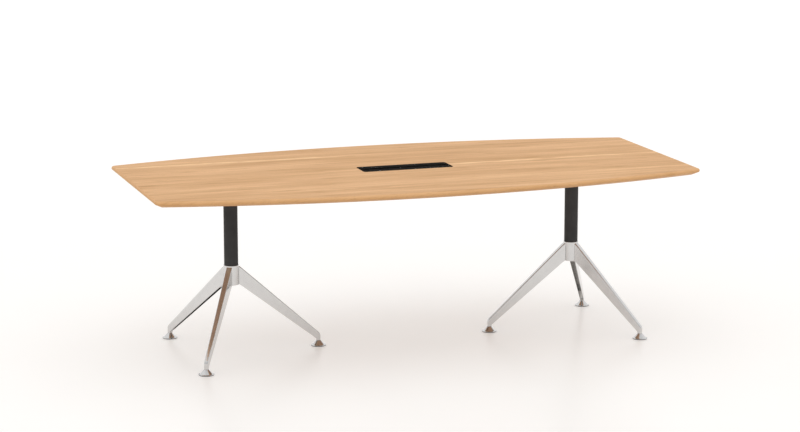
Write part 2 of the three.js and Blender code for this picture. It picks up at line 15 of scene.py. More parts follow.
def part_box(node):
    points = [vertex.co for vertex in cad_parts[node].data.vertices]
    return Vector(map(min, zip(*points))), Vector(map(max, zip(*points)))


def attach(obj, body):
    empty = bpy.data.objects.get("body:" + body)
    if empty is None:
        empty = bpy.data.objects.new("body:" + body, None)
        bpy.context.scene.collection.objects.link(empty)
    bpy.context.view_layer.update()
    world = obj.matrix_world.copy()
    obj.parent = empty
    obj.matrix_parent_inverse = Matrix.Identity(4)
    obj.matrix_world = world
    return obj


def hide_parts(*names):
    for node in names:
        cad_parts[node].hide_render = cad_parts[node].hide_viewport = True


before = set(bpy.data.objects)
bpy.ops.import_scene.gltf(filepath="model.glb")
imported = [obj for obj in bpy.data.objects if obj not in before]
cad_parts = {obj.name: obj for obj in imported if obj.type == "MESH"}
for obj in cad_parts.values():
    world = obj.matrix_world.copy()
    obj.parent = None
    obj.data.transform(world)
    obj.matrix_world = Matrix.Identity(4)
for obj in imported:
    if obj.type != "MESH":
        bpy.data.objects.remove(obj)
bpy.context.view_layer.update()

bl_info = {
    "name": "Conference table",
    "version": (1, 0, 0),
    "blender": (4, 5, 0),
    "location": "3D View > Sidebar > Table",
    "description": "Builds an oak conference table with a cable box on two tripod pedestals",
    "category": "Add Mesh",
}

# Names in the frame
SIDES = ("left", "right")
FEET = tuple(f"{side}_{place}" for side in SIDES for place in ("inner", "front", "rear"))

# Slack between pieces that fit into or against each other
FIT = 0.0003

# Table top: boxes of the frame, and sizes of the solids that no box gives
VENEER_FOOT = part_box("top_veneer")[0].z
HALF_LENGTH, HALF_WIDTH, TOP_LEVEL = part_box("top_veneer")[1]
END_HALF_WIDTH = 0.435
LIPPING_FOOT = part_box("lipping_right")[0].z
LIPPING_WIDTH = HALF_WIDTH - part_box("tabletop_core")[1].y
BEVEL_REACH = HALF_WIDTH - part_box("backing_veneer")[1].y
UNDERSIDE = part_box("backing_veneer")[0].z
ARC_RISE = HALF_WIDTH - END_HALF_WIDTH
ARC_RADIUS = (HALF_LENGTH**2 + ARC_RISE**2) / (2 * ARC_RISE)
EDGE_HEIGHT = 0.014
EDGE_FOOT = TOP_LEVEL - EDGE_HEIGHT
MITRE_GAP = 0.0003
TOP_ROUND = 0.016
LEAST_ROUND = 0.002

# Grain of the oak
RING_SLANT = 0.4
RING_PITCH = 0.017
RING_WANDER = 0.16
LEAF_SHIFT = 9.0
SOLID_LOT = 0.5
JOINT_REACH = 0.016
JOINT_CORE = 0.006
# Painted shade: between these heights the sides of the solid edge strips are painted darker towards the bottom
PAINTED_SHADE_LOW = TOP_LEVEL - 0.016
PAINTED_SHADE_HIGH = TOP_LEVEL - 0.004
BACKING_SHADE = (0.60, 0.68, 1.0)

# Cable box: boxes of the frame, and sizes that no box gives
RIM_LOW, RIM_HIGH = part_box("box_rim")
RIM_WIDTH = 0.013
SKIRT_WALL = 0.003
CUTOUT_GAP = 0.001
MOUTH_X = RIM_HIGH.x - RIM_WIDTH
MOUTH_Y = RIM_HIGH.y - RIM_WIDTH
MOUTH_ROUND = 0.0012
LID_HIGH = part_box("lid_rear")[1]
LEDGE_TOP = LID_HIGH.z - 0.0033
LEDGE_Y = LID_HIGH.y - 0.0084
LEDGE_LENGTH = 0.004
LEDGE_THICKNESS = 0.002
LEDGE_ROUND = 0.0004
FRAME_SCREW_LEVEL = RIM_LOW.z + 0.009
FRAME_SCREW_Y = 0.028
FRAME_SCREW_HEAD = 0.0032
RAIL_LOW, RAIL_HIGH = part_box("socket_rail")
SOCKET_PLACES = (-0.08, 0.0, 0.08)
SOCKET_RADIUS = 0.0195
SOCKET_DEPTH = 0.012
SOCKET_RIM = 0.0030
SOCKET_LIP = 0.0034
SOCKET_FLOOR = 0.0014
PIN_HOLE_X = 0.0095
PIN_HOLE_RADIUS = 0.0026
PIN_HOLE_LOW = -0.001
PIN_HOLE_HIGH = 0.004
INLET_BACK = RAIL_LOW.x + 0.0138
INLET_PINS = (-0.007, 0.0, 0.007)
HANGER_GAUGE = 0.002
HANGER_SCREW_Y = 0.011
HANGER_SCREW_INSET = 0.012
HANGER_SCREW_RISE = 0.010
HANGER_SCREW_HEAD = 0.0042

# Pedestals: boxes of the frame, and sizes that no box gives
PLATE_LOW, PLATE_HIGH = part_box("right_mounting_plate")
PLATE_HALF = (PLATE_HIGH.x - PLATE_LOW.x) / 2
PLATE_EASE = 0.0007
PEDESTAL_X = (PLATE_HIGH.x + PLATE_LOW.x) / 2
SCREW_ROW = PLATE_HALF - 0.022
COLUMN_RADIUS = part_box("right_column")[1].y
COLUMN_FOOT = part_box("right_column")[0].z
COLUMN_WALL = 0.003
COLUMN_EASE = 0.0007
WELD_LEG = 0.0045
WELD_HOLLOW = 0.003
HUB_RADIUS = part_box("right_hub")[1].y
HUB_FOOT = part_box("right_hub")[0].z
HUB_BORE = 0.023
HUB_BORE_EASE = 0.0005
HUB_WEB_FOOT = COLUMN_FOOT - 0.015
BOLT_HOLE = 0.0063
CAP_LOW, CAP_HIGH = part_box("right_hub_cap")
CAP_RADIUS = (CAP_HIGH.y - CAP_LOW.y) / 2
CAP_EASE = 0.0006
DISH_DEPTH = 0.0008
DISH_FLOOR = CAP_RADIUS * 0.8
DISH_EDGE = CAP_RADIUS * 0.86

# Legs, as distances from the column's axis and heights
SADDLE = HUB_RADIUS + FIT
ROOT_MIDDLE = 0.045
LEG_TOP = COLUMN_FOOT - 0.005
LEG_REACH = 0.385
NECK_LENGTH = 0.016
NECK_INNER = LEG_REACH - NECK_LENGTH / 2
NECK_OUTER = LEG_REACH + NECK_LENGTH / 2
NECK_FOOT = 0.023
NECK_TOP = NECK_FOOT + 0.007
NECK_START = NECK_INNER - 0.003
NECK_BEND = NECK_INNER - 0.0008
NECK_BEND_LEVEL = NECK_TOP - 0.0012
NECK_CLEAR = NECK_FOOT - 0.005
SHOULDER = NECK_FOOT + 0.030
SHOULDER_ROUND = 0.007
LEG_SLOPE = (LEG_TOP - SHOULDER) / (NECK_OUTER - HUB_RADIUS)
LEG_ROOT_WIDTH = 0.025
LEG_END_WIDTH = 0.017
LEG_WALL = 0.002
LEG_EASE = 0.0006
CHANNEL_START = 0.062
CHANNEL_END = 0.371
CHANNEL_DRAFT = 0.0008

# Levelling feet: boxes of the frame, and sizes that no box gives
SOLE_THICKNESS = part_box("right_inner_glide_sole")[1].z
SOLE_RADIUS = 0.032
SOLE_EASE = 0.0004
BELL_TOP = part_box("right_inner_glide_bell")[1].z
BELL_RIM_RADIUS = 0.033
BELL_RIM_HEIGHT = 0.0015
BELL_RIM_EASE = 0.0004
BELL_RIM_ROUND = 0.0008
BELL_SKIRT_RADIUS = 0.027
BELL_SKIRT_HEIGHT = 0.0045
BELL_SKIRT_ROUND = 0.0012
BELL_NECK_RADIUS = 0.0105
BELL_NECK_ROUND = 0.0006
STUD_LOW, STUD_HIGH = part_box("right_inner_glide_stud")
STUD_RADIUS = (STUD_HIGH.y - STUD_LOW.y) / 2
STUD_SEAT = 0.010
STUD_HOLE = 0.0042

# Stage
FLOOR_SIZE = 60
GLOW_COLOUR = (1, 0.974, 0.945, 1)
STUDIO_FRONT = -0.6
SENSOR_WIDTH = 36
FARTHEST_SEEN = 200

# Fineness of the meshes
WELD = 1e-6
NODE_WELD = 1e-5
FLAT = math.radians(0.5)
CREASE = math.radians(38)
ARC_STEPS = 72
CORNER_STEPS = 4
ARRIS_STEPS = 5
LEG_EDGE_STEPS = 6
CHANNEL_STEPS = 6
SHOULDER_STEPS = 8
ROUND_SIDES = 96
SOCKET_SIDES = 64
PIN_HOLE_SIDES = 24
SCREW_SIDES = 24
STUD_SIDES = 32
THREAD_STEPS = 24
RIDGE_SIDES = 4
PLATE_STEPS = 10
CAP_STEPS = 4
FEW_STEPS = 2


# Settings


def length_property(name, description, default):
    """A length in metres"""
    return FloatProperty(name=name, description=description, default=default, unit="LENGTH")


def colour_property(name, description, default):
    """A colour, in linear red, green and blue"""
    return FloatVectorProperty(
        name=name, description=description, default=default, subtype="COLOR", min=0, max=1
    )


def brightness_property(name, description, default):
    """A strength of light"""
    return FloatProperty(name=name, description=description, default=default)


class TopSettings(bpy.types.PropertyGroup):
    """Sizes and colours of the oak top"""

    arris: length_property("Arris", "Radius sanded along the upper edge", 0.0085)
    edge_round: length_property("Edge round", "Radius where the upright edge meets the bevel", 0.005)
    leaf_width: length_property("Leaf width", "Width of one leaf of veneer", 0.338)
    leaf_joint: length_property("Leaf joint", "A joint between two leaves, from the middle", 0.0125)
    light_oak: colour_property("Light oak", "Early wood", (0.905, 0.555, 0.292))
    dark_oak: colour_property("Dark oak", "Late wood and streaks", (0.52, 0.262, 0.09))


class BoxSettings(bpy.types.PropertyGroup):
    """Sizes and colours of the cable box"""

    corner: length_property("Corner", "Radius of the rim's outer corners", 0.012)
    chamfer: length_property("Chamfer", "Easing of the rim's edges", 0.0005)
    ease: length_property("Ease", "Easing of the edges of lids, tray and sockets", 0.0003)
    black: colour_property("Black", "Anodised black of rim and lids", (0.056, 0.0535, 0.0495))
    plastic: colour_property("Plastic", "Moulded black of the socket rail", (0.02, 0.02, 0.021))


class PedestalSettings(bpy.types.PropertyGroup):
    """Sizes and colours of the pedestals"""

    leg_edge: length_property("Leg edge", "Radius along the upper edges of a leg", 0.004)
    hub_edge: length_property("Hub edge", "Radius at both ends of a hub", 0.0012)
    plate_corner: length_property("Plate corner", "Corner radius of a mounting plate", 0.025)
    screw_head: length_property("Screw head", "Head radius of a plate screw", 0.0062)
    screw_seed: IntProperty(name="Screw seed", description="How the screws happen to be turned", default=7)
    polish: colour_property("Polish", "Tint of the polished metal", (0.68, 0.675, 0.67))
    paint: colour_property("Paint", "Powder coat of the columns", (0.047, 0.046, 0.0455))


class FootSettings(bpy.types.PropertyGroup):
    """Sizes of the levelling feet"""

    thread_pitch: length_property("Thread pitch", "Rise of the stud's thread in one turn", 0.00125)
    thread_depth: length_property("Thread depth", "Height of the stud's thread", 0.0006)


class StageSettings(bpy.types.PropertyGroup):
    """Floor, light and camera"""

    floor_colour: colour_property("Floor", "Colour of the floor", (0.715, 0.698, 0.68))
    floor_glow: brightness_property("Floor glow", "Light that comes up through the floor", 0.29)
    horizon: brightness_property("Horizon", "Brightness of the studio at eye level", 0.64)
    zenith: brightness_property("Zenith", "Brightness of the studio overhead", 1.16)
    front: brightness_property("Front", "Extra brightness of the studio before the table", 0.1)
    mirrored: brightness_property("Mirrored", "Brightness of the studio in reflections", 0.95)
    mirrored_front: brightness_property(
        "Mirrored front", "Brightness of the studio's front in reflections", 0.68
    )
    camera_place: FloatVectorProperty(
        name="Camera",
        description="Where the camera stands",
        default=(-3.3146954, -9.9186661, 2.6400524),
        subtype="TRANSLATION",
    )
    camera_heading: FloatProperty(
        name="Heading",
        description="Turn of the camera from straight ahead",
        default=0.3205123,
        subtype="ANGLE",
    )
    camera_dip: FloatProperty(
        name="Dip", description="How far the camera looks down", default=0.1976093, subtype="ANGLE"
    )
    camera_lens: FloatProperty(
        name="Lens", description="Focal length on a 36 mm sensor", default=110.43446, unit="CAMERA"
    )


class TableSettings(bpy.types.PropertyGroup):
    """All settings of the table"""

    top: PointerProperty(type=TopSettings)
    box: PointerProperty(type=BoxSettings)
    pedestal: PointerProperty(type=PedestalSettings)
    foot: PointerProperty(type=FootSettings)
    stage: PointerProperty(type=StageSettings)


def settings():
    """The table's settings in the open scene"""
    return bpy.context.scene.conference_table


# Nodes


def feed(tree, socket, value):
    """Links another node's output to a socket, or sets the socket to a plain value"""
    if isinstance(value, bpy.types.NodeSocket):
        tree.links.new(value, socket)
    else:
        socket.default_value = value


def step(tree, kind, inputs, **choices):
    """Adds a node to a tree, with its inputs linked or set, and returns its outputs"""
    node = tree.nodes.new(kind)
    for name, value in choices.items():
        setattr(node, name, value)
    for key, value in inputs.items():
        feed(tree, node.inputs[key], value)
    return node.outputs


def reckoned(tree, operation, *values):
    """The output of a Math node"""
    return step(tree, "ShaderNodeMath", dict(enumerate(values)), operation=operation)[0]


def made_once(build):
    """Keeps what a function made, for the pieces that ask for it later"""
    kept = {}

    def fetch(*choice):
        if choice not in kept:
            kept[choice] = build(*choice)
        return kept[choice]

    return fetch


# Materials


class Finish:
    """A node material in the making: a Principled shader fed by patterns on Object coordinates"""

    def __init__(self, name):
        self.material = bpy.data.materials.new(name)
        self.material.use_nodes = True
        self.tree = self.material.node_tree
        self.shader = self.tree.nodes["Principled BSDF"]
        self.place = self.add("ShaderNodeTexCoord", {})["Object"]

    def add(self, kind, inputs, **choices):
        """Adds a node to the material and returns its outputs"""
        return step(self.tree, kind, inputs, **choices)

    def math(self, operation, *values):
        """The output of a Math node"""
        return reckoned(self.tree, operation, *values)

    def scaled(self, vector, scale, turn=0.0):
        """A vector turned about Z and stretched along each axis"""
        inputs = {"Vector": vector, "Rotation": (0, 0, turn), "Scale": scale}
        return self.add("ShaderNodeMapping", inputs, vector_type="POINT")[0]

    def noise(self, vector, scale, detail=2.0, roughness=0.5):
        """Noise of one scale all ways"""
        inputs = {"Vector": vector, "Scale": scale, "Detail": detail, "Roughness": roughness}
        return self.add("ShaderNodeTexNoise", inputs)[0]

    def stretched(self, vector, scales, detail=2.0, roughness=0.5):
        """Noise with a scale of its own along each axis"""
        return self.noise(self.scaled(vector, scales), 1.0, detail, roughness)

    def span(self, value, start, end, low=0.0, high=1.0):
        """Takes a value from the range start to end to the range low to high"""
        return self.add("ShaderNodeMapRange", dict(enumerate((value, start, end, low, high))))[0]

    def spread(self, noise, low=0.0, high=1.0):
        """Takes a noise, most of which lies between 0.3 and 0.7, to the range low to high"""
        return self.span(noise, 0.3, 0.7, low, high)

    def mix(self, factor, *colours):
        """A colour between two others"""
        inputs = {0: factor}
        for key, colour in zip((6, 7), colours):
            inputs[key] = colour if isinstance(colour, bpy.types.NodeSocket) else (*colour, 1)
        return self.add("ShaderNodeMix", inputs, data_type="RGBA")[2]

    def shade(self, **values):
        """Sets or links the shader's inputs, named with underscores for spaces"""
        for name, value in values.items():
            feed(self.tree, self.shader.inputs[name.replace("_", " ")], value)

    def coat(self, clouds, colours, grain, roughness, **values):
        """Shades between two colours by one noise and between two roughnesses by another"""
        colour = self.mix(self.spread(clouds), *colours)
        self.shade(Base_Color=colour, Roughness=self.spread(grain, *roughness), **values)

    def bump(self, height, strength, depth):
        """Tilts the surface's shading by a height"""
        inputs = {"Strength": strength, "Distance": depth, "Height": height}
        self.shade(Normal=self.add("ShaderNodeBump", inputs)[0])


def tinted(colour, share):
    """A colour made lighter or darker"""
    return [part * share for part in colour]


def leaf_count(finish, across):
    """How many leaves of veneer a point lies past the joint near the middle"""
    top = settings().top
    past_joint = finish.math("SUBTRACT", across, top.leaf_joint + RING_SLANT * TOP_LEVEL)
    return finish.math("DIVIDE", past_joint, top.leaf_width)


def oak_grain(finish, board, across):
    """Tone of the wood from dark to light, its fine streaks, and where its pores are open"""
    figure = finish.stretched(board, (0.55, 6.0, 5.0), 1.5)
    wander = finish.math("ADD", across, finish.math("MULTIPLY", figure, RING_WANDER))
    rings = finish.math("SINE", finish.math("MULTIPLY", wander, 2 * math.pi / RING_PITCH))
    broad = finish.stretched(board, (0.9, 11.0, 1.0))
    bands = finish.stretched(board, (2.6, 42.0, 2.0), 2.0, 0.6)
    flecks = finish.stretched(board, (5.0, 48.0, 7.0))
    streaks = finish.stretched(board, (5.0, 330.0, 3.0), 3.0, 0.65)
    pores = finish.stretched(board, (55.0, 1500.0, 3.0), 1.0)
    tone = finish.math("ADD", finish.spread(broad, -0.05, 0.3), finish.spread(bands, 0.06, 0.44))
    tone = finish.math("ADD", tone, finish.spread(streaks, 0.05, 0.29))
    tone = finish.math("ADD", tone, finish.math("MULTIPLY", rings, 0.07))
    tone = finish.math("SUBTRACT", tone, finish.span(flecks, 0.63, 0.75, 0.0, 0.55))
    return tone, streaks, finish.span(pores, 0.58, 0.72)


def pale_joints(finish, board, along, count):
    """Ragged pale lines on the joints of the leaves

    The joint near the middle shows to the right, the next one behind it to the left, and others are fainter.
    The fade along the table is painted sheen, where light catches a joint.
    """
    width = settings().top.leaf_width
    ragged = finish.stretched(board, (9.0, 60.0, 2.0))
    off_middle = finish.math("ABSOLUTE", finish.math("SUBTRACT", finish.math("FRACT", count), 0.5))
    joint = finish.span(off_middle, 0.5 - JOINT_REACH / width, 0.5 - JOINT_CORE / width)
    joint = finish.math("MULTIPLY", joint, finish.span(ragged, 0.36, 0.52, 0.0, 0.9))
    number = finish.math("FLOOR", finish.math("ADD", count, 0.5))
    # Painted sheen: each joint's pale line shows strongest towards one end of the table, as if light caught it
    # there
    course = finish.math("MULTIPLY", along, finish.math("MULTIPLY_ADD", number, -2.0, 1.0))
    rarity = finish.math("MULTIPLY_ADD", number, finish.math("SUBTRACT", number, 1.0), 1.0)
    rarity_and_painted_sheen = finish.math("DIVIDE", finish.span(course, 0.05, 0.3, 0.1, 1.0), rarity)
    return finish.math("MULTIPLY", joint, rarity_and_painted_sheen)


@made_once
def oak(name, turn, leafed, shade=(1.0, 1.0, 1.0)):
    """Lacquered oak with its grain along X turned by an angle: veneer laid in leaves, or solid wood with
    painted shade towards its lower edge
    """
    top = settings().top
    light = [tint * share for tint, share in zip(top.light_oak, shade)]
    dark = [tint * share for tint, share in zip(top.dark_oak, shade)]
    finish = Finish(name)
    turned = finish.scaled(finish.place, (1, 1, 1), turn)
    along, side, height = finish.add("ShaderNodeSeparateXYZ", {0: turned})
    across = finish.math("MULTIPLY_ADD", height, RING_SLANT, side)
    lot = SOLID_LOT
    if leafed:
        count = leaf_count(finish, across)
        leaf = finish.math("FLOOR", count)
        lot = finish.add("ShaderNodeTexWhiteNoise", {"W": leaf}, noise_dimensions="1D")["Value"]
    shifted = finish.math("ADD", along, finish.math("MULTIPLY", lot, LEAF_SHIFT))
    board = finish.add("ShaderNodeCombineXYZ", {"X": shifted, "Y": across, "Z": lot})[0]
    tone, streaks, open_pores = oak_grain(finish, board, across)
    if leafed:
        colour = finish.mix(tone, dark, light)
        colour = finish.mix(finish.span(lot, 0.0, 1.0, 0.0, 0.12), colour, dark)
        pale = [min(1.0, part) for part in tinted(light, 1.2)]
        # Pale joint lines, faded along the table by a painted sheen
        colour = finish.mix(pale_joints(finish, board, along, count), colour, pale)
    else:
        # Painted shade: the solid edge strips darken downwards, standing in for the shade under the top's edge
        painted_shade = finish.span(height, PAINTED_SHADE_LOW, PAINTED_SHADE_HIGH, 0.36, 0.0)
        tone = finish.math("SUBTRACT", finish.span(tone, 0.0, 1.0, 0.48, 0.78), painted_shade)
        colour = finish.mix(tone, dark, light)
    colour = finish.mix(finish.math("MULTIPLY", open_pores, 0.3), colour, tinted(dark, 0.5))
    finish.shade(Base_Color=colour, Roughness=finish.spread(streaks, 0.46, 0.58), Specular_IOR_Level=0.12)
    finish.bump(finish.math("SUBTRACT", streaks, open_pores), 0.12, 0.0002)
    return finish.material


@made_once
def chipboard():
    """Pressed wood chips, seen only in the hole for the cable box"""
    finish = Finish("chipboard")
    pressed = finish.scaled(finish.place, (180, 180, 420))
    chips = finish.add("ShaderNodeTexVoronoi", {"Vector": pressed})["Distance"]
    grit = finish.noise(finish.place, 600.0, 3.0)
    colour = finish.mix(grit, (0.30, 0.19, 0.10), (0.52, 0.36, 0.21))
    colour = finish.mix(finish.span(chips, 0.0, 0.9, 0.0, 0.6), colour, (0.22, 0.13, 0.06))
    finish.shade(Base_Color=colour, Roughness=finish.spread(grit, 0.8, 0.95))
    finish.bump(chips, 0.5, 0.0006)
    return finish.material


@made_once
def anodised():
    """Black anodised aluminium, finely brushed along the table"""
    finish = Finish("anodised_black")
    brushed = finish.stretched(finish.place, (9.0, 1400.0, 1400.0), 3.0, 0.6)
    handled = finish.noise(finish.place, 22.0, 3.0)
    black = settings().box.black
    colour = finish.mix(finish.spread(brushed), black, tinted(black, 1.25))
    rough = finish.math("ADD", finish.spread(brushed, 0.32, 0.42), finish.spread(handled, 0.0, 0.08))
    finish.shade(Base_Color=colour, Metallic=1.0, Roughness=rough, Specular_Tint=(0.11, 0.11, 0.11, 1))
    finish.bump(brushed, 0.06, 0.0001)
    return finish.material


@made_once
def powder_coat():
    """Black powder coat with a fine orange peel"""
    finish = Finish("powder_coat_black")
    peel = finish.noise(finish.place, 1100.0, 2.0)
    cloud = finish.noise(finish.place, 16.0, 3.0)
    paint = settings().pedestal.paint
    finish.coat(cloud, (paint, tinted(paint, 1.3)), peel, (0.48, 0.6), Specular_IOR_Level=0.1)
    finish.bump(peel, 0.12, 0.0002)
    return finish.material


@made_once
def moulded_plastic():
    """Black moulded plastic with a spark-eroded grain"""
    finish = Finish("moulded_plastic")
    grain = finish.noise(finish.place, 1800.0, 3.0, 0.6)
    sheen = finish.noise(finish.place, 40.0, 2.0)
    plastic = settings().box.plastic
    finish.coat(grain, (plastic, tinted(plastic, 1.5)), sheen, (0.42, 0.58))
    finish.bump(grain, 0.2, 0.0002)
    return finish.material


@made_once
def polished(name, least, most):
    """Polished metal with faint buffing marks, between two roughnesses"""
    finish = Finish(name)
    buffed = finish.noise(finish.place, 420.0, 4.0, 0.65)
    waves = finish.noise(finish.place, 38.0, 2.0)
    polish = settings().pedestal.polish
    finish.coat(waves, (tinted(polish, 0.96), polish), buffed, (least, most), Metallic=1.0)
    finish.bump(waves, 0.03, 0.0008)
    return finish.material


def bright():
    """Polish of legs and hubs"""
    return polished("polished_aluminium", 0.10, 0.17)


def chrome():
    """Smoother polish of the feet"""
    return polished("polished_chrome", 0.09, 0.15)


@made_once
def cast():
    """Half-polished casting under a leg and in its channel"""
    finish = Finish("raw_casting")
    sand = finish.noise(finish.place, 900.0, 4.0, 0.7)
    stain = finish.noise(finish.place, 60.0, 3.0)
    greys = ((0.45, 0.445, 0.435), (0.55, 0.545, 0.535))
    finish.coat(stain, greys, sand, (0.17, 0.26), Metallic=1.0)
    finish.bump(sand, 0.1, 0.0002)
    return finish.material


@made_once
def plated(name, dull, clean):
    """Plated steel, clouded between two tones"""
    finish = Finish(name)
    spangle = finish.noise(finish.place, 260.0, 3.0)
    drawn = finish.noise(finish.place, 1500.0, 3.0, 0.6)
    finish.coat(spangle, (dull, clean), drawn, (0.28, 0.42), Metallic=1.0)
    finish.bump(drawn, 0.08, 0.0001)
    return finish.material


def zinc():
    """Zinc plating of brackets, rods, screws, bolts and studs"""
    return plated("zinc_steel", (0.42, 0.43, 0.45), (0.58, 0.585, 0.59))


def passivated():
    """Yellow-passivated plating of the mounting plates"""
    return plated("passivated_steel", (0.43, 0.31, 0.21), (0.54, 0.39, 0.275))


@made_once
def rubber():
    """Matt black rubber of the soles"""
    finish = Finish("sole_rubber")
    dust = finish.noise(finish.place, 500.0, 4.0, 0.7)
    finish.coat(dust, ((0.012, 0.012, 0.012), (0.026, 0.025, 0.024)), dust, (0.75, 0.92))
    finish.bump(dust, 0.25, 0.0003)
    return finish.material


# Mesh making


def linked(name, mesh, *materials):
    """A new object of a mesh, at the origin, with its materials"""
    for material in materials:
        mesh.materials.append(material)
    piece = bpy.data.objects.new(name, mesh)
    bpy.context.scene.collection.objects.link(piece)
    return piece


def creased(mesh):
    """Shades a mesh smooth up to the crease angle"""
    mesh.shade_smooth()
    mesh.set_sharp_from_angle(angle=CREASE)
    return mesh


def closed_mesh(name, bm):
    """The finished mesh of a closed shape: welded, with its faces outwards, and creased"""
    bmesh.ops.remove_doubles(bm, verts=bm.verts, dist=WELD)
    bmesh.ops.recalc_face_normals(bm, faces=bm.faces)
    mesh = bpy.data.meshes.new(name)
    bm.to_mesh(mesh)
    bm.free()
    return creased(mesh)


def keep_modified(piece):
    """Makes what an object's modifiers make its own mesh, and removes them"""
    depsgraph = bpy.context.evaluated_depsgraph_get()
    mesh = bpy.data.meshes.new_from_object(piece.evaluated_get(depsgraph), depsgraph=depsgraph)
    piece.modifiers.clear()
    piece.data = mesh
    return mesh


def settle(piece, body, slot, *nodes):
    """Evens a piece's shading, rides it on its body, and hides the nodes it stands for. Its slot is not used.
    """
    even = piece.modifiers.new("even", "WEIGHTED_NORMAL")
    even.keep_sharp = True
    keep_modified(piece)
    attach(piece, body)
    if nodes:
        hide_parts(*nodes)


def dress(material, *nodes):
    """Gives CAD nodes that stay in view their material"""
    for node in nodes:
        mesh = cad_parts[node].data
        mesh.materials.clear()
        mesh.materials.append(material)


def loft(bm, loops, caps=True, wrap=False, second=()):
    """A skin through loops of equal counts. Strips listed in second take the second material."""
    rings = [[bm.verts.new(point) for point in loop] for loop in loops]
    pairs = list(zip(rings, rings[1:]))
    if wrap:
        pairs.append((rings[-1], rings[0]))
    count = len(rings[0])
    for near, far in pairs:
        for i in range(count):
            j = (i + 1) % count
            face = bm.faces.new((near[i], near[j], far[j], far[i]))
            face.material_index = int(i in second)
    if caps:
        bm.faces.new(rings[0])
        bm.faces.new(rings[-1])
    return rings


def lofted_mesh(name, loops, **choices):
    """The finished mesh of a skin through loops"""
    bm = bmesh.new()
    loft(bm, loops, **choices)
    return closed_mesh(name, bm)


def rounded(corners, steps=5, closed=True):
    """Points along a line through (a, b, radius) corners, with an arc at each corner that has a radius"""
    points = []
    last = len(corners) - 1
    for i, (a, b, radius) in enumerate(corners):
        corner = Vector((a, b))
        if radius == 0 or (not closed and i in (0, last)):
            points.append(corner)
            continue
        before = (Vector(corners[i - 1][:2]) - corner).normalized()
        after = (Vector(corners[(i + 1) % (last + 1)][:2]) - corner).normalized()
        half = before.angle(after) / 2
        centre = corner + (before + after).normalized() * (radius / math.sin(half))
        start = corner + before * (radius / math.tan(half)) - centre
        end = corner + after * (radius / math.tan(half)) - centre
        for turn in range(steps + 1):
            points.append(centre + start.lerp(end, turn / steps).normalized() * radius)
    return points


def circle(radius, height, sides):
    """A level loop round a circle"""
    angles = (2 * math.pi * i / sides for i in range(sides))
    return [(radius * math.cos(angle), radius * math.sin(angle), height) for angle in angles]


def turned_mesh(name, profile, sides=ROUND_SIDES, wrap=False):
    """A mesh turned about Z from a profile of (radius, height), which wraps round or ends on the axis"""
    loops = [circle(radius, height, sides) for radius, height in profile]
    return lofted_mesh(name, loops, caps=False, wrap=wrap)


def rectangle_loop(half_x, half_y, corner, level, steps=6):
    """A level loop round a rectangle with rounded corners"""
    corners = [(half_x, -half_y), (half_x, half_y), (-half_x, half_y), (-half_x, -half_y)]
    outline = rounded([(x, y, corner) for x, y in corners], steps)
    return [(x, y, level) for x, y in outline]


def eased(name, node, body, slot, material):
    """Sets in a CAD node's place a copy with its flat faces joined up and its sharp edges eased"""
    bm = bmesh.new()
    bm.from_mesh(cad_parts[node].data)
    bmesh.ops.remove_doubles(bm, verts=bm.verts, dist=NODE_WELD)
    bmesh.ops.dissolve_limit(bm, angle_limit=FLAT, verts=bm.verts, edges=bm.edges)
    sharp = [edge for edge in bm.edges if edge.is_manifold and edge.calc_face_angle() > CREASE]
    ease = settings().box.ease
    bmesh.ops.bevel(
        bm,
        geom=sharp,
        offset=ease,
        segments=FEW_STEPS,
        profile=0.5,
        affect="EDGES",
        clamp_overlap=True,
    )
    for face in bm.faces:
        face.material_index = 0
    settle(linked(name, closed_mesh(name, bm), material), body, slot, node)


def carved(mesh, *tools):
    """A mesh with tools cut out of it. The tools are removed."""
    piece = linked("carved", mesh)
    for tool in tools:
        cut = piece.modifiers.new("cut", "BOOLEAN")
        cut.solver = "EXACT"
        cut.object = tool
    result = creased(keep_modified(piece))
    for used in (piece, *tools):
        bpy.data.objects.remove(used)
    return result


def peg(radius, low, high, x, sides):
    """A plain upright peg to cut a hole with"""
    mesh = lofted_mesh("peg", [circle(radius, low, sides), circle(radius, high, sides)])
    mesh.transform(Matrix.Translation((x, 0, 0)))
    return linked("peg", mesh)


def placed(name, mesh, place, *materials):
    """A copy of a mesh moved to its place, as a piece at the origin"""
    copy = mesh.copy()
    copy.name = name
    copy.transform(place)
    return linked(name, copy, *materials)


# Geometry nodes


def node_tree(name, **inputs):
    """An empty modifier tree with a geometry socket at each end, and the outputs of its input node"""
    tree = bpy.data.node_groups.new(name, "GeometryNodeTree")
    tree.is_modifier = True
    tree.interface.new_socket("Geometry", in_out="OUTPUT", socket_type="NodeSocketGeometry")
    tree.interface.new_socket("Geometry", in_out="INPUT", socket_type="NodeSocketGeometry")
    for label, kind in inputs.items():
        tree.interface.new_socket(label, in_out="INPUT", socket_type=f"NodeSocket{kind}")
    return tree, tree.nodes.new("NodeGroupInput").outputs


def end_tree(tree, geometry, material):
    """Ends a tree in Realize Instances and Set Material"""
    real = step(tree, "GeometryNodeRealizeInstances", {"Geometry": geometry})
    painted = step(tree, "GeometryNodeSetMaterial", {"Geometry": real[0], "Material": material})
    step(tree, "NodeGroupOutput", {0: painted[0]})


def grown(piece, tree, values):
    """Runs a tree on an object with its named inputs set, and keeps the result as the object's mesh"""
    modifier = piece.modifiers.new(tree.name, "NODES")
    modifier.node_group = tree
    for socket in tree.interface.items_tree:
        if socket.in_out == "INPUT" and socket.name in values:
            modifier[socket.identifier] = values[socket.name]
    return creased(keep_modified(piece))


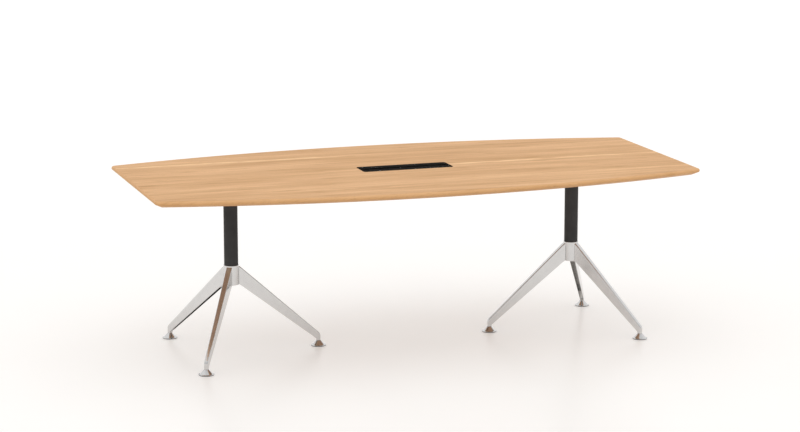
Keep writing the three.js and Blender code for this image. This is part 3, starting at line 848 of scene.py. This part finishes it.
@made_once
def repeat_tree():
    """Sets copies of a pattern on points, each along its point's facing and turned about it by chance"""
    tree, given = node_tree(
        "repeat_on_points", Pattern="Object", Size="Float", Turn="Float", Seed="Int", Finish="Material"
    )
    pattern = step(tree, "GeometryNodeObjectInfo", {"Object": given["Pattern"]})
    named = {"Name": "facing"}
    facing = step(tree, "GeometryNodeInputNamedAttribute", named, data_type="FLOAT_VECTOR")
    aimed = step(tree, "FunctionNodeAlignRotationToVector", {"Vector": facing[0]}, axis="Z")
    chance = step(tree, "FunctionNodeRandomValue", {2: 0.0, 3: given["Turn"], "Seed": given["Seed"]})
    spin = step(tree, "FunctionNodeAxisAngleToRotation", {"Axis": (0, 0, 1), "Angle": chance[1]})
    both = {"Rotation": aimed[0], "Rotate By": spin[0]}
    turned = step(tree, "FunctionNodeRotateRotation", both, rotation_space="LOCAL")
    copies = step(
        tree,
        "GeometryNodeInstanceOnPoints",
        {
            "Points": given["Geometry"],
            "Instance": pattern["Geometry"],
            "Rotation": turned[0],
            "Scale": given["Size"],
        },
    )
    end_tree(tree, copies[0], given["Finish"])
    return tree


@made_once
def thread_tree():
    """A threaded stud that stands on the origin: a core with a ridge wound round it"""
    tree, given = node_tree(
        "threaded_stud", Radius="Float", Pitch="Float", Depth="Float", Length="Float", Finish="Material"
    )
    depth = given["Depth"]
    length = given["Length"]
    winding = reckoned(tree, "MULTIPLY_ADD", depth, -2.0, length)
    turns = reckoned(tree, "DIVIDE", winding, given["Pitch"])
    root = reckoned(tree, "SUBTRACT", given["Radius"], depth)
    coil = {
        "Resolution": THREAD_STEPS,
        "Rotations": turns,
        "Start Radius": root,
        "End Radius": root,
        "Height": winding,
    }
    path = step(tree, "GeometryNodeCurveSpiral", coil)[0]
    ring = {"Resolution": RIDGE_SIDES, "Radius": depth}
    ridge = step(tree, "GeometryNodeCurvePrimitiveCircle", ring)[0]
    swept = {"Curve": path, "Profile Curve": ridge, "Fill Caps": True}
    thread = step(tree, "GeometryNodeCurveToMesh", swept)[0]
    rod = {"Vertices": STUD_SIDES, "Radius": root, "Depth": length}
    core = step(tree, "GeometryNodeMeshCylinder", rod)[0]
    both = tree.nodes.new("GeometryNodeJoinGeometry")
    for part, rise in ((thread, depth), (core, reckoned(tree, "DIVIDE", length, 2.0))):
        lift = step(tree, "ShaderNodeCombineXYZ", {"Z": rise})[0]
        raised = step(tree, "GeometryNodeTransform", {"Geometry": part, "Translation": lift})[0]
        tree.links.new(raised, both.inputs[0])
    end_tree(tree, both.outputs[0], given["Finish"])
    return tree


def repeated(name, pattern_mesh, places, size, turn, material):
    """One piece made of copies of a pattern at (point, facing) places"""
    base = bpy.data.meshes.new(name)
    base.from_pydata([point for point, _ in places], [], [])
    facing = base.attributes.new("facing", "FLOAT_VECTOR", "POINT")
    facing.data.foreach_set("vector", [part for _, direction in places for part in direction])
    pattern = linked("pattern", pattern_mesh)
    piece = linked(name, base)
    values = {
        "Pattern": pattern,
        "Size": size,
        "Turn": turn,
        "Seed": settings().pedestal.screw_seed,
        "Finish": material,
    }
    grown(piece, repeat_tree(), values)
    bpy.data.objects.remove(pattern)
    return piece


# Screws


def hexagon(radius, level):
    """A loop round a hexagon, with as many points as a screw's round loops"""
    points = []
    for i in range(SCREW_SIDES):
        angle = 2 * math.pi * i / SCREW_SIDES
        off_flat = angle % (math.pi / 3) - math.pi / 6
        reach = radius * math.cos(math.pi / 6) / math.cos(off_flat)
        points.append((reach * math.cos(angle), reach * math.sin(angle), level))
    return points


def screw_pattern():
    """A button head of unit radius with a hexagon socket, standing on z = 0"""
    dome = [(1.0, 0.0), (1.0, 0.16), (0.94, 0.32), (0.8, 0.45), (0.62, 0.53)]
    loops = [circle(radius, level, SCREW_SIDES) for radius, level in dome]
    loops += [hexagon(0.46, 0.56), hexagon(0.42, 0.5), hexagon(0.42, 0.2)]
    return lofted_mesh("screw", loops)


def screwed(name, places, head):
    """Screws with a head radius at (point, facing) places, each turned by chance"""
    screws = repeated(name, screw_pattern(), places, head, math.pi, zinc())
    settle(screws, "table", "steel")


# Table top


def half_width(x, inset):
    """Half the width of the top at a distance from its middle, drawn in by an inset"""
    return HALF_WIDTH - ARC_RADIUS + math.sqrt((ARC_RADIUS - inset) ** 2 - x * x)


def corner_arc(inset):
    """Radius, centre and sweep of a rounded corner of the top, from its curved side round to its end"""
    radius = max(TOP_ROUND - inset, LEAST_ROUND)
    x = HALF_LENGTH - inset - radius
    return radius, x, half_width(x, inset + radius), math.acos(x / (ARC_RADIUS - inset - radius))


def corner_points(inset, start, end):
    """(x, y) points round a quarter corner, between two shares of its sweep"""
    radius, x, y, sweep = corner_arc(inset)
    shares = [start + (end - start) * i / CORNER_STEPS for i in range(CORNER_STEPS + 1)]
    angles = [sweep * (1 - share) for share in shares]
    return [(x + radius * math.cos(angle), y + radius * math.sin(angle)) for angle in angles]


def side_points(inset):
    """(x, y) points along a curved side between its two corners"""
    radius, x, _, sweep = corner_arc(inset)
    meet = x + radius * math.cos(sweep)
    along = [meet * (2 * i / ARC_STEPS - 1) for i in range(ARC_STEPS + 1)]
    return [(x, half_width(x, inset)) for x in along]


def top_outline(inset, level):
    """A level loop round the top, drawn in by an inset"""
    corner = corner_points(inset, 0, 0.5)[1:] + corner_points(inset, 0.5, 1)[1:]
    half = [(x, -y, level) for x, y in side_points(inset) + corner]
    half += [(x, y, level) for x, y in corner[::-1]]
    return half + [(-x, -y, level) for x, y, level in half]


def arris_points(start, end):
    """(inset, height) points up the sanded arris, between two angles from the upright edge"""
    radius = settings().top.arris
    points = []
    for i in range(ARRIS_STEPS + 1):
        angle = start + (end - start) * i / ARRIS_STEPS
        points.append((radius * (1 - math.cos(angle)), TOP_LEVEL - radius * (1 - math.sin(angle))))
    return points


def veneer_angle():
    """How far up the arris the veneer's lower face lies"""
    radius = settings().top.arris
    return math.asin(1 - (TOP_LEVEL - VENEER_FOOT) / radius)


def top_skin_mesh():
    """The veneered top with its share of the arris and the hole for the cable box"""
    bm = bmesh.new()
    rise = arris_points(veneer_angle(), math.pi / 2)
    rings = loft(bm, [top_outline(inset, level) for inset, level in rise], caps=False)
    hole_x = MOUTH_X + SKIRT_WALL + CUTOUT_GAP
    hole_y = MOUTH_Y + SKIRT_WALL + CUTOUT_GAP
    levels = (VENEER_FOOT, TOP_LEVEL)
    hole = [rectangle_loop(hole_x, hole_y, CUTOUT_GAP, level, FEW_STEPS) for level in levels]
    walls = loft(bm, hole, caps=False)
    for loops in zip((rings[0], rings[-1]), walls):
        borders = [bm.edges.get((loop[i - 1], loop[i])) for loop in loops for i in range(len(loop))]
        bmesh.ops.triangle_fill(bm, edges=borders, use_beauty=True)
    return closed_mesh("oak_top", bm)


def lipping_profile():
    """Closed section of an edge strip as (inset, height): arris, upright edge, bevel, and the glued faces"""
    bevel_foot = BEVEL_REACH * (LIPPING_FOOT - EDGE_FOOT) / (UNDERSIDE - EDGE_FOOT)
    inner = LIPPING_WIDTH - MITRE_GAP
    corners = [(inset, level, 0) for inset, level in arris_points(veneer_angle(), 0)]
    corners.append((0, EDGE_FOOT, settings().top.edge_round))
    corners.append((bevel_foot, LIPPING_FOOT, 0))
    corners.append((inner, LIPPING_FOOT, 0))
    corners.append((inner, VENEER_FOOT, 0))
    return rounded(corners)


def mitre_share(inset):
    """Share of a corner's sweep that an edge strip covers, up to half a glue line from the mitre"""
    radius, _, _, sweep = corner_arc(inset)
    return 0.5 - math.asin(MITRE_GAP / 2 / radius) / sweep


def side_strip(inset):
    """(x, y) points of a curved edge strip from mitre to mitre"""
    corner = corner_points(inset, 0, mitre_share(inset))[1:]
    return [(-x, y) for x, y in corner[::-1]] + side_points(inset) + corner


def end_strip(inset):
    """(x, y) points of a straight edge strip from mitre to mitre"""
    corner = corner_points(inset, 1 - mitre_share(inset), 1)
    return corner + [(x, -y) for x, y in corner[::-1]]


def lipping_mesh(name, strip, sign):
    """An edge strip along one side of the top, or along the other with a sign of -1"""
    tracks = []
    for inset, level in lipping_profile():
        tracks.append([(sign * x, sign * y, level) for x, y in strip(inset)])
    return lofted_mesh(name, list(zip(*tracks)))


class TABLE_OT_oak_top(bpy.types.Operator):
    """Veneered top, its four edge strips, the backing veneer and the board inside"""

    bl_idname = "conference_table.oak_top"
    bl_label = "Oak top"

    def execute(self, context):
        skin = linked("oak_top", top_skin_mesh(), oak("oak_veneer", 0.0, True))
        settle(skin, "table", "oak", "top_veneer")
        along = oak("oak_edge", 0.0, False)
        across = oak("oak_edge_end", math.pi / 2, False)
        strips = (
            ("front", side_strip, -1, along),
            ("rear", side_strip, 1, along),
            ("left", end_strip, -1, across),
            ("right", end_strip, 1, across),
        )
        for end, strip, sign, wood in strips:
            name = f"oak_edge_{end}"
            settle(linked(name, lipping_mesh(name, strip, sign), wood), "table", "oak", f"lipping_{end}")
        dress(oak("oak_backing", 0.0, True, BACKING_SHADE), "backing_veneer")
        dress(chipboard(), "tabletop_core")
        return {"FINISHED"}


# Cable box


def rim_mesh():
    """Rim and skirt as one closed section taken round the mouth, with a ledge at each end for the lids"""
    box = settings().box
    ease = box.chamfer
    outer = (RIM_HIGH.x, RIM_HIGH.y)
    mouth = (MOUTH_X, MOUTH_Y)
    section = [
        (outer, 0.0, box.corner, TOP_LEVEL),
        (outer, 0.0, box.corner, RIM_HIGH.z - ease),
        (outer, -ease, box.corner - ease, RIM_HIGH.z),
        (mouth, ease, MOUTH_ROUND + ease, RIM_HIGH.z),
        (mouth, 0.0, MOUTH_ROUND, RIM_HIGH.z - ease),
        (mouth, 0.0, MOUTH_ROUND, RIM_LOW.z),
        (mouth, SKIRT_WALL, MOUTH_ROUND, RIM_LOW.z),
        (mouth, SKIRT_WALL, MOUTH_ROUND, TOP_LEVEL),
    ]
    bm = bmesh.new()
    loops = [rectangle_loop(x + grow, y + grow, radius, level) for (x, y), grow, radius, level in section]
    loft(bm, loops, caps=False, wrap=True)
    half = (LEDGE_LENGTH + SKIRT_WALL / 2) / 2
    levels = (LEDGE_TOP - LEDGE_THICKNESS, LEDGE_TOP)
    ledge = [rectangle_loop(half, LEDGE_Y, LEDGE_ROUND, level, FEW_STEPS) for level in levels]
    for sign in (-1, 1):
        middle = sign * (MOUTH_X - (LEDGE_LENGTH - SKIRT_WALL / 2) / 2)
        loft(bm, [[(x + middle, y, z) for x, y, z in loop] for loop in ledge])
    return closed_mesh("box_frame", bm)


class TABLE_OT_box_frame(bpy.types.Operator):
    """Rim and skirt of the cable box, with the screws that hold it in the top"""

    bl_idname = "conference_table.box_frame"
    bl_label = "Cable box frame"

    def execute(self, context):
        settle(linked("box_frame", rim_mesh(), anodised()), "table", "black_anodised", "box_rim")
        places = []
        for sign in (-1, 1):
            for y in (-FRAME_SCREW_Y, FRAME_SCREW_Y):
                places.append(((sign * MOUTH_X, y, FRAME_SCREW_LEVEL), (-sign, 0, 0)))
        screwed("box_frame_screws", places, FRAME_SCREW_HEAD)
        return {"FINISHED"}


class TABLE_OT_box_lids(bpy.types.Operator):
    """The two flip lids and the rods that they turn on"""

    bl_idname = "conference_table.box_lids"
    bl_label = "Cable box lids"

    def execute(self, context):
        for end in ("front", "rear"):
            eased(f"box_lid_{end}", f"lid_{end}", f"lid_{end}", "black_anodised", anodised())
            dress(zinc(), f"hinge_rod_{end}")
        return {"FINISHED"}


def socket_mesh():
    """Bottom of a socket well: a dished disc with two pin holes"""
    rim = SOCKET_RADIUS - FIT
    profile = [
        (0, 0),
        (rim, 0),
        (rim, SOCKET_RIM),
        (rim - 0.0016, SOCKET_LIP),
        (rim - 0.0024, SOCKET_FLOOR),
        (0, SOCKET_FLOOR),
    ]
    disc = turned_mesh("socket", profile, SOCKET_SIDES)
    pegs = []
    for x in (-PIN_HOLE_X, PIN_HOLE_X):
        pegs.append(peg(PIN_HOLE_RADIUS, PIN_HOLE_LOW, PIN_HOLE_HIGH, x, PIN_HOLE_SIDES))
    return carved(disc, *pegs)


def blade_mesh():
    """A flat contact pin with an eased tip, standing on z = 0"""
    corner = 0.0003
    sizes = [(0.0020, 0.0010, 0.0), (0.0020, 0.0010, 0.0095), (0.0016, 0.0006, 0.0110)]
    loops = [rectangle_loop(x, y, corner, level, FEW_STEPS) for x, y, level in sizes]
    return lofted_mesh("blade", loops)


def hanger_screw_places():
    """Two screws up through each bracket's flange and two through its leg into the tray's end"""
    places = []
    for side, sign in (("left", -1), ("right", 1)):
        low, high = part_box(f"tray_bracket_{side}")
        inner, outer = sorted((abs(low.x), abs(high.x)))
        flange = (sign * (outer - HANGER_SCREW_INSET), high.z - HANGER_GAUGE)
        leg = (sign * (inner + HANGER_GAUGE), low.z + HANGER_SCREW_RISE)
        for y in (-HANGER_SCREW_Y, HANGER_SCREW_Y):
            places.append(((flange[0], y, flange[1]), (0, 0, -1)))
            places.append(((leg[0], y, leg[1]), (sign, 0, 0)))
    return places


class TABLE_OT_box_tray(bpy.types.Operator):
    """Tray under the rim, its brackets, the socket rail and their small fittings"""

    bl_idname = "conference_table.box_tray"
    bl_label = "Cable box tray"

    def execute(self, context):
        eased("cable_tray", "box_tray", "table", "black_paint", powder_coat())
        eased("socket_strip", "socket_rail", "table", "black_plastic", moulded_plastic())
        for side in SIDES:
            eased(f"tray_hanger_{side}", f"tray_bracket_{side}", "table", "steel", zinc())
        floor = RAIL_HIGH.z - SOCKET_DEPTH
        wells = [((x, 0, floor), (0, 0, 1)) for x in SOCKET_PLACES]
        inserts = repeated("socket_inserts", socket_mesh(), wells, 1.0, 0.0, moulded_plastic())
        settle(inserts, "table", "black_plastic")
        middle = (RAIL_LOW.z + RAIL_HIGH.z) / 2
        stands = [((INLET_BACK, y, middle), (-1, 0, 0)) for y in INLET_PINS]
        pins = repeated("inlet_pins", blade_mesh(), stands, 1.0, 0.0, zinc())
        settle(pins, "table", "steel")
        screwed("hanger_screws", hanger_screw_places(), HANGER_SCREW_HEAD)
        return {"FINISHED"}


# Pedestals


def pedestal_x(side):
    """Where a pedestal's axis stands along the table"""
    return PEDESTAL_X if side == "right" else -PEDESTAL_X


def at_pedestal(side):
    """The shift that takes what is drawn on the Z axis to its pedestal"""
    return Matrix.Translation((pedestal_x(side), 0, 0))


def foot_centre(foot):
    """Where a foot's axis meets the floor"""
    low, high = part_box(f"{foot}_glide_bell")
    return Vector(((low.x + high.x) / 2, (low.y + high.y) / 2, 0))


def at_leg(foot):
    """The turn and shift that take a leg drawn along X to its place"""
    side = foot.split("_")[0]
    reach = foot_centre(foot) - Vector((pedestal_x(side), 0, 0))
    return at_pedestal(side) @ Matrix.Rotation(math.atan2(reach.y, reach.x), 4, "Z")


def plate_mesh():
    """A mounting plate with rounded corners and eased lower edges"""
    corner = settings().pedestal.plate_corner
    levels = ((PLATE_EASE, PLATE_LOW.z), (0.0, PLATE_LOW.z + PLATE_EASE), (0.0, PLATE_HIGH.z))
    loops = []
    for inset, level in levels:
        half = PLATE_HALF - inset
        loops.append(rectangle_loop(half, half, corner - inset, level, PLATE_STEPS))
    return lofted_mesh("plate", loops)


def column_mesh():
    """A tube with an eased foot and a fillet weld where it meets the mounting plate"""
    inner = COLUMN_RADIUS - COLUMN_WALL
    head = PLATE_LOW.z
    profile = rounded(
        [
            (inner, COLUMN_FOOT, 0),
            (COLUMN_RADIUS, COLUMN_FOOT, COLUMN_EASE),
            (COLUMN_RADIUS, head - WELD_LEG, WELD_HOLLOW),
            (COLUMN_RADIUS + WELD_LEG, head, 0),
            (inner, head, 0),
        ]
    )
    return turned_mesh("column", profile, wrap=True)


def hub_mesh():
    """A bored hub with rounded ends"""
    edge = settings().pedestal.hub_edge
    profile = rounded(
        [
            (HUB_BORE, HUB_FOOT, HUB_BORE_EASE),
            (HUB_RADIUS, HUB_FOOT, edge),
            (HUB_RADIUS, COLUMN_FOOT, edge),
            (BOLT_HOLE, COLUMN_FOOT, 0),
            (BOLT_HOLE, HUB_WEB_FOOT, 0),
            (HUB_BORE, HUB_WEB_FOOT, 0),
        ]
    )
    return turned_mesh("hub", profile, wrap=True)


def hub_cap_mesh():
    """A push-in plug with a dished face"""
    low = CAP_LOW.z
    rim = [(DISH_EDGE, low, 0), (CAP_RADIUS, low, CAP_EASE), (CAP_RADIUS, CAP_HIGH.z, 0)]
    profile = [(0, low + DISH_DEPTH), (DISH_FLOOR, low + DISH_DEPTH), (DISH_EDGE, low)]
    profile += rounded(rim, CAP_STEPS, closed=False)
    profile.append((0, CAP_HIGH.z))
    return turned_mesh("hub_cap", profile)


def leg_top(reach):
    """Height of a leg's upper line, with the rounded shoulder at its end"""
    if reach <= NECK_OUTER - SHOULDER_ROUND:
        return min(LEG_TOP, LEG_TOP - (reach - HUB_RADIUS) * LEG_SLOPE)
    left = math.sqrt(max(0.0, (NECK_OUTER - reach) / SHOULDER_ROUND))
    rise = left * left * SHOULDER_ROUND * LEG_SLOPE
    return SHOULDER + rise - (1 - left) ** 2 * SHOULDER_ROUND


def leg_foot(reach):
    """Height of a leg's lower line, down to where its neck begins"""
    share = max(0.0, (reach - HUB_RADIUS) / (NECK_INNER - HUB_RADIUS))
    return HUB_FOOT + (NECK_TOP - HUB_FOOT) * share


def leg_roof(reach):
    """Height of the channel's roof: an even wall under the upper line"""
    return leg_top(reach) - LEG_WALL * math.hypot(1, LEG_SLOPE)


def leg_half_width(reach):
    """Half the width of a leg, rounded in plan at its outer end"""
    share = (reach - HUB_RADIUS) / (LEG_REACH - HUB_RADIUS)
    half = (LEG_ROOT_WIDTH + (LEG_END_WIDTH - LEG_ROOT_WIDTH) * share) / 2
    edge = settings().pedestal.leg_edge
    past = max(0.0, reach - NECK_OUTER + edge)
    return half - edge + math.sqrt(max(0.0, edge * edge - past * past))


def leg_section(reach, low, roof):
    """Upright section of a leg as (across, height): one side, over the rounded top, and the channel below"""
    edge = settings().pedestal.leg_edge
    rise = edge * math.hypot(1, LEG_SLOPE)
    half = leg_half_width(reach)
    high = leg_top(reach)
    inner = half - LEG_WALL
    draft = CHANNEL_DRAFT if roof > low else 0.0
    angles = [math.pi / 2 * i / LEG_EDGE_STEPS for i in range(LEG_EDGE_STEPS + 1)]
    side = [(half - edge + edge * math.cos(angle), high - rise + rise * math.sin(angle)) for angle in angles]
    under = [(half, low + LEG_EASE), (half - LEG_EASE, low), (inner, low), (inner - draft, roof)]
    left = [(-across, height) for across, height in side]
    return left + side[::-1] + under + [(-across, height) for across, height in under[::-1]]


def leg_stations():
    """(reach, height below, height of the roof) from the hub to the end of the neck"""
    stations = [(reach, leg_foot(reach), leg_foot(reach)) for reach in (SADDLE, ROOT_MIDDLE, CHANNEL_START)]
    for i in range(CHANNEL_STEPS + 1):
        reach = CHANNEL_START + (CHANNEL_END - CHANNEL_START) * i / CHANNEL_STEPS
        stations.append((reach, leg_foot(reach), leg_roof(reach)))
    stations += [(reach, leg_foot(reach), leg_foot(reach)) for reach in (CHANNEL_END, NECK_START)]
    stations.append((NECK_BEND, NECK_BEND_LEVEL, NECK_BEND_LEVEL))
    stations.append((NECK_INNER, NECK_FOOT, NECK_FOOT))
    for i in range(SHOULDER_STEPS + 1):
        reach = NECK_OUTER - SHOULDER_ROUND * (1 - i / SHOULDER_STEPS) ** 2
        stations.append((reach, NECK_FOOT, NECK_FOOT))
    return stations


def leg_mesh():
    """A tapered leg drawn along X: saddle at the hub, channel underneath and a neck bored for the stud"""
    loops = []
    for reach, low, roof in leg_stations():
        section = leg_section(reach, low, roof)
        if reach == SADDLE:
            loops.append([(math.sqrt(SADDLE**2 - across**2), across, height) for across, height in section])
        else:
            loops.append([(reach, across, height) for across, height in section])
    count = len(loops[0])
    # From one lower rim through the channel to the other, a leg is half polished, but not on its neck
    rim_to_rim = range(count - 7, count - 2)
    bm = bmesh.new()
    loft(bm, loops, second=rim_to_rim)
    for face in bm.faces:
        if face.calc_center_median().x > NECK_START:
            face.material_index = 0
    mesh = closed_mesh("leg", bm)
    mesh.materials.append(bright())
    mesh.materials.append(cast())
    return carved(mesh, peg(STUD_RADIUS + FIT, NECK_CLEAR, STUD_HIGH.z + FIT, LEG_REACH, STUD_SIDES))


class TABLE_OT_columns(bpy.types.Operator):
    """Mounting plates with their screws, and the columns welded to them"""

    bl_idname = "conference_table.columns"
    bl_label = "Columns and plates"

    def execute(self, context):
        plate, column = plate_mesh(), column_mesh()
        rows = [(i, j) for i in (-1, 0, 1) for j in (-1, 0, 1) if (i, j) != (0, 0)]
        places = []
        for side in SIDES:
            place = at_pedestal(side)
            top_plate = placed(f"{side}_top_plate", plate, place, passivated())
            settle(top_plate, "table", "steel", f"{side}_mounting_plate")
            tube = placed(f"{side}_tube", column, place, powder_coat())
            settle(tube, "table", "black_paint", f"{side}_column")
            dress(zinc(), f"{side}_column_plug", f"{side}_column_bolt")
            for i, j in rows:
                point = (pedestal_x(side) + i * SCREW_ROW, j * SCREW_ROW, PLATE_LOW.z)
                places.append((point, (0, 0, -1)))
        screwed("plate_screws", places, settings().pedestal.screw_head)
        return {"FINISHED"}


class TABLE_OT_hubs(bpy.types.Operator):
    """Polished hubs and the plugs in their open ends"""

    bl_idname = "conference_table.hubs"
    bl_label = "Hubs"

    def execute(self, context):
        hub, cap = hub_mesh(), hub_cap_mesh()
        for side in SIDES:
            place = at_pedestal(side)
            leg_hub = placed(f"{side}_leg_hub", hub, place, bright())
            settle(leg_hub, "table", "polished_aluminium", f"{side}_hub")
            plug = placed(f"{side}_hub_plug", cap, place, moulded_plastic())
            settle(plug, "table", "black_plastic", f"{side}_hub_cap")
        return {"FINISHED"}


class TABLE_OT_legs(bpy.types.Operator):
    """The six polished legs and the bolts in their roots"""

    bl_idname = "conference_table.legs"
    bl_label = "Legs"

    def execute(self, context):
        leg = leg_mesh()
        for foot in FEET:
            piece = placed(f"{foot}_cast_leg", leg, at_leg(foot))
            settle(piece, "table", "polished_aluminium", f"{foot}_leg")
            dress(zinc(), f"{foot}_leg_bolt")
        return {"FINISHED"}


# Levelling feet


def bell_mesh():
    """A cone-shaped foot with a thin rim and a bore for the stud"""
    profile = rounded(
        [
            (0, SOLE_THICKNESS, 0),
            (BELL_RIM_RADIUS, SOLE_THICKNESS, BELL_RIM_EASE),
            (BELL_RIM_RADIUS, SOLE_THICKNESS + BELL_RIM_HEIGHT, BELL_RIM_ROUND),
            (BELL_SKIRT_RADIUS, BELL_SKIRT_HEIGHT, BELL_SKIRT_ROUND),
            (BELL_NECK_RADIUS, BELL_TOP, BELL_NECK_ROUND),
            (STUD_HOLE, BELL_TOP, 0),
            (STUD_HOLE, STUD_SEAT, 0),
            (0, STUD_SEAT, 0),
        ],
        closed=False,
    )
    return turned_mesh("bell", profile)


def sole_mesh():
    """A disc with eased edges"""
    profile = rounded(
        [
            (0, 0, 0),
            (SOLE_RADIUS, 0, SOLE_EASE),
            (SOLE_RADIUS, SOLE_THICKNESS, SOLE_EASE),
            (0, SOLE_THICKNESS, 0),
        ],
        closed=False,
    )
    return turned_mesh("sole", profile)


def stud_mesh():
    """A threaded stud standing on its seat"""
    foot = settings().foot
    piece = linked("stud", bpy.data.meshes.new("stud"))
    values = {
        "Radius": STUD_RADIUS,
        "Pitch": foot.thread_pitch,
        "Depth": foot.thread_depth,
        "Length": STUD_HIGH.z - STUD_LOW.z,
        "Finish": zinc(),
    }
    mesh = grown(piece, thread_tree(), values)
    mesh.transform(Matrix.Translation((0, 0, STUD_LOW.z)))
    bpy.data.objects.remove(piece)
    return mesh


class TABLE_OT_feet(bpy.types.Operator):
    """The six levelling feet: bell, sole and threaded stud"""

    bl_idname = "conference_table.feet"
    bl_label = "Levelling feet"

    def execute(self, context):
        bell, sole, stud = bell_mesh(), sole_mesh(), stud_mesh()
        for foot in FEET:
            place = Matrix.Translation(foot_centre(foot))
            glide = f"{foot}_glide"
            settle(placed(f"{foot}_bell", bell, place, chrome()), glide, "chrome", f"{glide}_bell")
            settle(placed(f"{foot}_sole", sole, place, rubber()), glide, "rubber", f"{glide}_sole")
            settle(placed(f"{foot}_screw", stud, place), f"{foot}_stud", "steel", f"{glide}_stud")
        return {"FINISHED"}


# Floor, light and camera


def floor_finish():
    """A pale, faintly glossy studio floor, lit a little from below"""
    finish = Finish("studio_floor")
    cloud = finish.noise(finish.place, 3.0, 2.0)
    stage = settings().stage
    finish.shade(Base_Color=(*stage.floor_colour, 1), Roughness=finish.spread(cloud, 0.28, 0.32))
    finish.shade(Specular_IOR_Level=0.3, Emission_Color=GLOW_COLOUR, Emission_Strength=stage.floor_glow)
    return finish.material


def studio_world():
    """Soft white surroundings: brightest overhead, even in reflections and plain white in the camera"""
    stage = settings().stage
    world = bpy.data.worlds.new("studio")
    world.use_nodes = True
    tree = world.node_tree
    light = tree.nodes["Background"]
    light.inputs["Color"].default_value = (1, 1, 1, 1)
    coords = step(tree, "ShaderNodeTexCoord", {})
    split = step(tree, "ShaderNodeSeparateXYZ", {0: coords["Generated"]})
    height = step(tree, "ShaderNodeMapRange", {0: split["Z"], 3: stage.horizon, 4: stage.zenith})
    depth = reckoned(tree, "MULTIPLY_ADD", split["Y"], -stage.front, height[0])
    path = step(tree, "ShaderNodeLightPath", {})
    front = {0: split["Y"], 1: STUDIO_FRONT, 2: 0.0, 3: stage.mirrored_front, 4: stage.mirrored}
    around = step(tree, "ShaderNodeMapRange", front, interpolation_type="SMOOTHSTEP")
    mirrored = step(tree, "ShaderNodeMix", {0: path["Is Glossy Ray"], 2: depth, 3: around[0]})
    seen = step(tree, "ShaderNodeMix", {0: path["Is Camera Ray"], 2: mirrored[0], 3: 1.0})
    tree.links.new(seen[0], light.inputs["Strength"])
    return world


class TABLE_OT_stage(bpy.types.Operator):
    """Pale floor, soft studio light and the camera"""

    bl_idname = "conference_table.stage"
    bl_label = "Stage"

    def execute(self, context):
        stage = settings().stage
        scene = context.scene
        bm = bmesh.new()
        bmesh.ops.create_grid(bm, x_segments=1, y_segments=1, size=FLOOR_SIZE)
        mesh = bpy.data.meshes.new("floor")
        bm.to_mesh(mesh)
        bm.free()
        floor = linked("floor", mesh, floor_finish())
        scene.world = studio_world()
        scene.view_settings.view_transform = "Standard"
        lens = bpy.data.cameras.new("camera")
        lens.sensor_fit = "HORIZONTAL"
        lens.sensor_width = SENSOR_WIDTH
        lens.lens = stage.camera_lens
        lens.clip_end = FARTHEST_SEEN
        camera = bpy.data.objects.new("camera", lens)
        camera.location = stage.camera_place
        camera.rotation_euler = (math.pi / 2 - stage.camera_dip, 0, -stage.camera_heading)
        scene.collection.objects.link(camera)
        scene.camera = camera
        return {"FINISHED"}


class TABLE_PT_panel(bpy.types.Panel):
    """The table's settings, and its pieces in the order in which they are built"""

    bl_idname = "TABLE_PT_panel"
    bl_label = "Conference table"
    bl_space_type = "VIEW_3D"
    bl_region_type = "UI"
    bl_category = "Table"

    def draw(self, context):
        for group in ("top", "box", "pedestal", "foot", "stage"):
            part = getattr(context.scene.conference_table, group)
            column = self.layout.column(heading=group.capitalize())
            for name in part.__annotations__:
                column.prop(part, name)
        for operator in OPERATORS:
            self.layout.operator(operator.bl_idname)


GROUPS = (TopSettings, BoxSettings, PedestalSettings, FootSettings, StageSettings, TableSettings)
OPERATORS = (
    TABLE_OT_oak_top,
    TABLE_OT_box_frame,
    TABLE_OT_box_lids,
    TABLE_OT_box_tray,
    TABLE_OT_columns,
    TABLE_OT_hubs,
    TABLE_OT_legs,
    TABLE_OT_feet,
    TABLE_OT_stage,
)
CLASSES = (*GROUPS, *OPERATORS, TABLE_PT_panel)


def register():
    for cls in CLASSES:
        bpy.utils.register_class(cls)
    bpy.types.Scene.conference_table = PointerProperty(type=TableSettings)


def unregister():
    del bpy.types.Scene.conference_table
    for cls in reversed(CLASSES):
        bpy.utils.unregister_class(cls)


def main():
    register()
    bpy.ops.conference_table.oak_top()
    bpy.ops.conference_table.box_frame()
    bpy.ops.conference_table.box_lids()
    bpy.ops.conference_table.box_tray()
    bpy.ops.conference_table.columns()
    bpy.ops.conference_table.hubs()
    bpy.ops.conference_table.legs()
    bpy.ops.conference_table.feet()
    bpy.ops.conference_table.stage()


if __name__ == "__main__":
    main()
